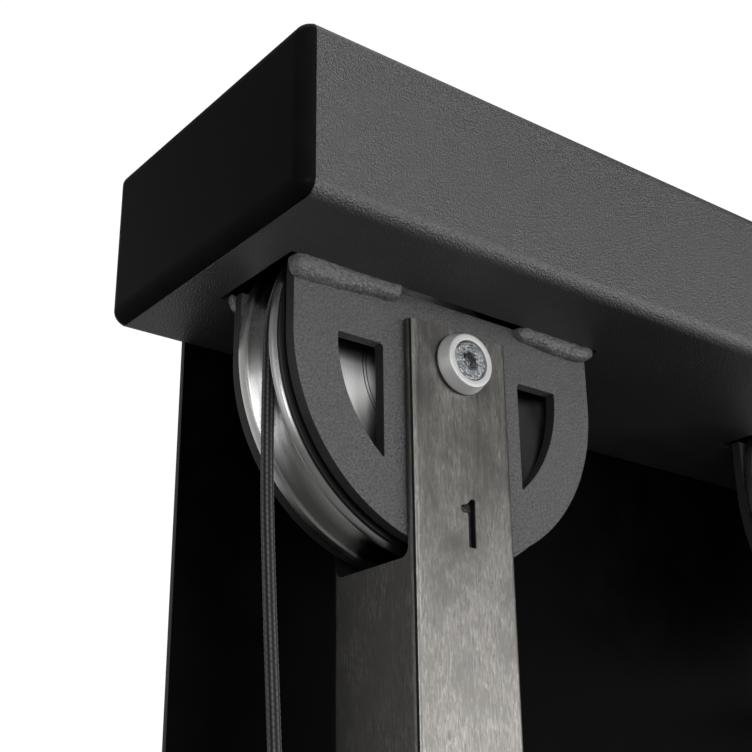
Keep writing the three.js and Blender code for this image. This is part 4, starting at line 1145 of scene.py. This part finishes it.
def strap_band(name, path, w0, w1, t=2.4, bodies=None):
    """flat webbing along a path in the plane of x and z, w wide along y; a thin woven edge and fine ribs across both
    faces
    """
    pts, length = resample([(x, 0, z) for x, z in path], 1.2)
    fr = []
    for i in range(len(pts)):
        a, b = pts[max(0, i - 1)], pts[min(len(pts) - 1, i + 1)]
        d = (b - a).normalized()
        fr.append(Vector((-d.z, 0, d.x)))
    verts, faces = [], []
    k = 20
    for i, (p, nrm) in enumerate(zip(pts, fr)):
        s_ = i / (len(pts) - 1)
        w = w0 + (w1 - w0) * s_
        for j in range(k):
            q = j / k * 4
            side_ = int(q)
            f = q - side_
            half_w, half_t = w / 2, t / 2
            if side_ == 0:
                y, h = -half_w + w * f, half_t
            elif side_ == 1:
                y, h = half_w, half_t - t * f
            elif side_ == 2:
                y, h = half_w - w * f, -half_t
            else:
                y, h = -half_w, -half_t + t * f
            edge = abs(y) / half_w
            h *= 1.0 - 0.35 * max(0.0, (edge - 0.86) / 0.14)
            rib = 0.10 * math.cos(2 * math.pi * (i * 1.2) / 2.6) * (1 if abs(h) > half_t * 0.6 else 0)
            h += math.copysign(rib, h)
            verts.append((p.x + nrm.x * h, -196 + y, p.z + nrm.z * h))
    m_ = len(pts)
    for i in range(m_ - 1):
        for j in range(k):
            q = (j + 1) % k
            faces.append((i * k + j, i * k + q, (i + 1) * k + q, (i + 1) * k + j))
    faces.append(tuple(range(k)))
    faces.append(tuple((m_ - 1) * k + j for j in range(k)))
    return finish_mesh(name, verts, faces, M["webbing"], angle=50, wn=False)


top_loop = [(sx + x, z) for x, z in arc(0, -571.9, 6.6, -70, 250, 30)]
# one band: from the left end loop, up, over the link, down to the right end loop
for s_ in (1, -1):
    leg = [(sx + s_ * 2.2, -578.1), (sx + s_ * 3.0, -582.0), (sx + s_ * 8.0, -588.5), (sx + s_ * 30, -614.5), (sx + s_ * 55, -643.8), (sx + s_ * 67.5, -660.0), (sx + s_ * 70.4, -668.0), (sx + s_ * 70.6, -675.5)]
    band = strap_band(f"strap_leg_{'right' if s_ > 0 else 'left'}", leg, 19.6, 19.6, 2.6)
    if s_ > 0:
        stand(band, "handle_strap")
    else:
        ride_as(band, "handle_strap")
    x0, x1 = (sx + 50, sx + 72) if s_ > 0 else (sx - 72, sx - 50)
    lp = revolve(f"strap_end_{'right' if s_ > 0 else 'left'}", fillet([(6.7, x0, 0.5), (9.9, x0, 1.0), (9.9, x1, 1.0), (6.7, x1, 0.5)], 4), 64, M["webbing"], "X", (0, -196, -680))
    ride_as(lp, "handle_strap")
apex = revolve("strap_apex", fillet([(5.1, sx - 3, 0.4), (7.9, sx - 3, 1.0), (7.9, sx + 3, 1.0), (5.1, sx + 3, 0.4)], 4), 56, M["webbing"], "X", (0, -196, -571.9))
ride_as(apex, "handle_strap")
keeper = prism("strap_keeper", fillet([(sx - 4.4, -584.5, 1.2), (sx + 4.4, -584.5, 1.2), (sx + 4.0, -577.6, 1.2), (sx - 4.0, -577.6, 1.2)], 4), -206, -186, M["webbing"], axis="Y", bevel=0.9, seg=3)
ride_as(keeper, "handle_strap")
ob = revolve("grip_rod_mesh", fillet([(0, -77, 0), (9, -77, 1.2), (9, -74, 0.5), (6, -74, 0.2), (6, 74, 0.2), (9, 74, 0.5), (9, 77, 1.2), (0, 77, 0)], 5), 56, M["chrome"], "X", (sx, -196, -680), closed=False)
stand(ob, "grip_rod")
gp = [(6.6, -46, 0.4), (13.2, -46, 1.5), (15, -43.6, 0.8)]
for i in range(12):
    a = -40 + i * 80 / 11
    gp += [(15, a - 2.4, 0.4), (14.25, a - 1.6, 0.3), (14.25, a + 1.6, 0.3), (15, a + 2.4, 0.4)]
gp += [(15, 43.6, 0.8), (13.2, 46, 1.5), (6.6, 46, 0.4)]
ob = revolve("grip_tube_mesh", fillet(gp, 3), 96, M["rubber"], "X", (sx, -196, -680), angle=40)
stand(ob, "grip_tube")

# ----------------------------------------------------------------------- ropes
fall = [(-71.8, ROPE_Y, 0.3)]
fall += [(-71.8, ROPE_Y, -8), (-71.85, ROPE_Y - 0.05, -30), (-71.5, ROPE_Y - 0.4, -60), (-70.6, -76.7, -95), (-69.4, -78.2, -130), (-68.2, -79.8, -165)]
fall += [(-66.2, -82.2, -215), (-63.0, -86.2, -300), (-60.2, -89.5, -380), (-58.6, -91.3, -425), (-58.1, -91.9, -440), (sx, sy, -452), (sx, sy, -489.8)]


def spline(points, n=14):
    """smooth curve through the points"""
    p = [Vector(q) for q in points]
    p = [p[0] * 2 - p[1]] + p + [p[-1] * 2 - p[-2]]
    out = []
    for i in range(1, len(p) - 2):
        a, b, c, d = p[i - 1], p[i], p[i + 1], p[i + 2]
        for k in range(n):
            t = k / n
            out.append(0.5 * ((2 * b) + (c - a) * t + (2 * a - 5 * b + 4 * c - d) * t * t + (3 * b - a - 3 * c + d) * t ** 3))
    out.append(p[-2])
    return out


top = rope("rope_top_run_mesh", bend_xz(0, 0, 71.8, 180, 90) + bend_xz(300, 0, 71.8, 90, 0), step=0.6, sides=28)
stand(top, "rope_top_run")
fr_ = rope("rope_carriage_fall_mesh", spline(fall), step=0.6, sides=32)
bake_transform(fr_)
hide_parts("rope_carriage_fall")
lp = rope("rope_stack_loop_mesh", [(371.8, ROPE_Y, 0)] + [(371.8, ROPE_Y, z) for z in range(-20, -1610, -40)] + bend_xz(lx, lz, 30, 180, 360, 40)
          + [(431.8, ROPE_Y, z) for z in range(-1610, -20, 40)] + [(431.8, ROPE_Y, -18)], step=1.0, sides=20)
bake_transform(lp)
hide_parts("rope_stack_loop")
br = rope("rope_base_run_mesh", bend_xz(rx, rz, 30, 180, 0, 40) + [(491.8, ROPE_Y, z) for z in range(-60, -1900, -40)]
          + bend_xz(466.8, -1925, 25, 0, -90, 24) + bend_xz(-33, -1925, 25, 270, 180, 24), step=1.0, sides=20)
stand(br, "rope_base_run")
ar = rope("rope_anchor_rise_mesh", [(sx, ROPE_Y, -1925)] + [(sx, ROPE_Y, z) for z in range(-1900, -580, 40)] + [(sx, ROPE_Y, -560.1)], step=1.0, sides=20)
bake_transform(ar)
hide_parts("rope_anchor_rise")
hr = rope("rope_handle_mesh", [(sx, y, z) for y, z in arc(-117, -490, 25, 0, -90, 24)] + [(sx, -125, -515), (sx, -140, -515), (sx, -165.4, -515)], step=0.6, sides=28)
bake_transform(hr)
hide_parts("rope_handle")

# --------------------------------------------------------- floor, light, world
fm, fnt, fb = material("floor_pale")
seen = fnt.nodes.new("ShaderNodeLightPath")
fnt.links.new(mix_rgb(fnt, seen.outputs["Is Camera Ray"], (0.25, 0.25, 0.247), (0.88, 0.88, 0.875)), fb.inputs["Base Color"])
fb.inputs["Roughness"].default_value = 0.7
bump(fnt, fb, noise_tex(fnt, coords(fnt), 0.02, 3), 0.05, 0.5)
fv = [(-4200, -5200, 0), (4800, -5200, 0), (4800, 4200, 0), (-4200, 4200, 0)]
floor = finish_mesh("floor", [(x, y, -1962.0) for x, y, z in fv], [(0, 1, 2, 3)], fm, wn=False)


def soft_light(name, direction, distance, size, radiance, aim=(0.0, -0.12, -0.02), shape="RECTANGLE"):
    """a soft box seen from aim along direction; radiance as the object sees it"""
    d = bpy.data.lights.new(name, "AREA")
    d.shape = shape
    d.size, d.size_y = size
    d.energy = radiance * math.pi * size[0] * size[1]
    o = bpy.data.objects.new(name, d)
    bpy.context.scene.collection.objects.link(o)
    v = Vector(direction).normalized() * distance
    o.location = Vector(aim) + v
    o.rotation_euler = (-v).to_track_quat("-Z", "Y").to_euler()
    o.visible_camera = False
    return o


soft_light("key", (0.22, -0.97, 0.10), 2.0, (0.7, 0.7), 3.4)
soft_light("front_left", (-0.50, -0.86, 0.02), 2.0, (0.9, 0.8), 7.0)
soft_light("left", (-0.80, -0.55, -0.15), 1.6, (0.35, 0.35), 3.0)
soft_light("high", (-0.10, -0.80, 0.60), 2.0, (0.6, 0.6), 4.0)
soft_light("low_right", (0.72, -0.62, -0.32), 1.5, (0.5, 0.5), 3.7)

world = bpy.data.worlds.new("studio")
bpy.context.scene.world = world
world.use_nodes = True
wnt = world.node_tree
wnt.nodes.clear()
wout = wnt.nodes.new("ShaderNodeOutputWorld")
bg_view = wnt.nodes.new("ShaderNodeBackground")
bg_view.inputs[0].default_value = (1, 1, 1, 1)
bg_view.inputs[1].default_value = 1.05
bg_lit = wnt.nodes.new("ShaderNodeBackground")
tc = wnt.nodes.new("ShaderNodeTexCoord")


def lobe(direction, lo, hi, level):
    """a soft patch of sky round a direction, from cosine lo to hi"""
    n = wnt.nodes.new("ShaderNodeVectorMath")
    n.operation = "DOT_PRODUCT"
    v = Vector(direction).normalized()
    n.inputs[1].default_value = v
    wnt.links.new(tc.outputs["Generated"], n.inputs[0])
    m = remap(wnt, n.outputs["Value"], lo, hi, 0.0, level)
    m.node.interpolation_type = "SMOOTHSTEP"
    return m


sep = wnt.nodes.new("ShaderNodeSeparateXYZ")
wnt.links.new(tc.outputs["Generated"], sep.inputs[0])


def height_band(a, b_, lo, hi):
    return remap(wnt, sep.outputs[2], a, b_, lo, hi)


def both(a, b_):
    return math_node(wnt, "MULTIPLY", a, b_)


to_right = lobe((0.66, -0.75, -0.10), 0.75, 0.95, 1.0)
strip = both(height_band(-0.05, 0.0, 0.0, 1.0), height_band(0.12, 0.2, 1.0, 0.0))
low = height_band(0.02, 0.3, 1.0, 0.0)
high = height_band(0.02, 0.3, 0.0, 1.0)
sky = [
    both(to_right, height_band(-0.05, 0.0, 1.2, 0.0)),
    both(to_right, both(strip, 4.2)),
    lobe((0.57, 0.73, -0.37), 0.84, 0.96, 0.29),
    both(lobe((-0.75, 0.60, -0.25), 0.50, 0.85, 0.32), low),
    both(lobe((-0.60, 0.73, 0.35), 0.60, 0.90, 0.22), high),
    both(lobe((-0.90, -0.30, -0.30), 0.50, 0.85, 0.12), low),
    both(lobe((-0.40, -0.80, -0.45), 0.60, 0.90, 0.20), low),
    both(lobe((-0.65, -0.70, 0.35), 0.50, 0.85, 0.12), high),
    both(to_right, height_band(0.12, 0.2, 0.0, 0.08)),
    lobe((0.05, -0.99, 0.10), 0.72, 0.92, 0.12),
    height_band(0.70, 0.92, 0.0, 1.1),
    lobe((-1.0, 0.0, 0.0), 0.90, 0.985, 0.5),
    lobe((1.0, 0.0, 0.05), 0.88, 0.985, 0.6),
    lobe((0.0, 1.0, 0.10), 0.82, 0.97, 0.7),
]
level = sky[0]
for part in sky[1:]:
    level = math_node(wnt, "ADD", level, part)
level = math_node(wnt, "ADD", level, 0.004)
bg_lit.inputs[0].default_value = (1.0, 0.995, 0.985, 1)
wnt.links.new(level, bg_lit.inputs[1])
lp_ = wnt.nodes.new("ShaderNodeLightPath")
mx = wnt.nodes.new("ShaderNodeMixShader")
wnt.links.new(lp_.outputs["Is Camera Ray"], mx.inputs[0])
wnt.links.new(bg_lit.outputs[0], mx.inputs[1])
wnt.links.new(bg_view.outputs[0], mx.inputs[2])
wnt.links.new(mx.outputs[0], wout.inputs[0])
bpy.context.scene.view_settings.view_transform = "Standard"
bpy.context.scene.view_settings.look = "None"
bpy.context.scene.view_settings.exposure = 0.0
bpy.context.scene.view_settings.gamma = 1.0
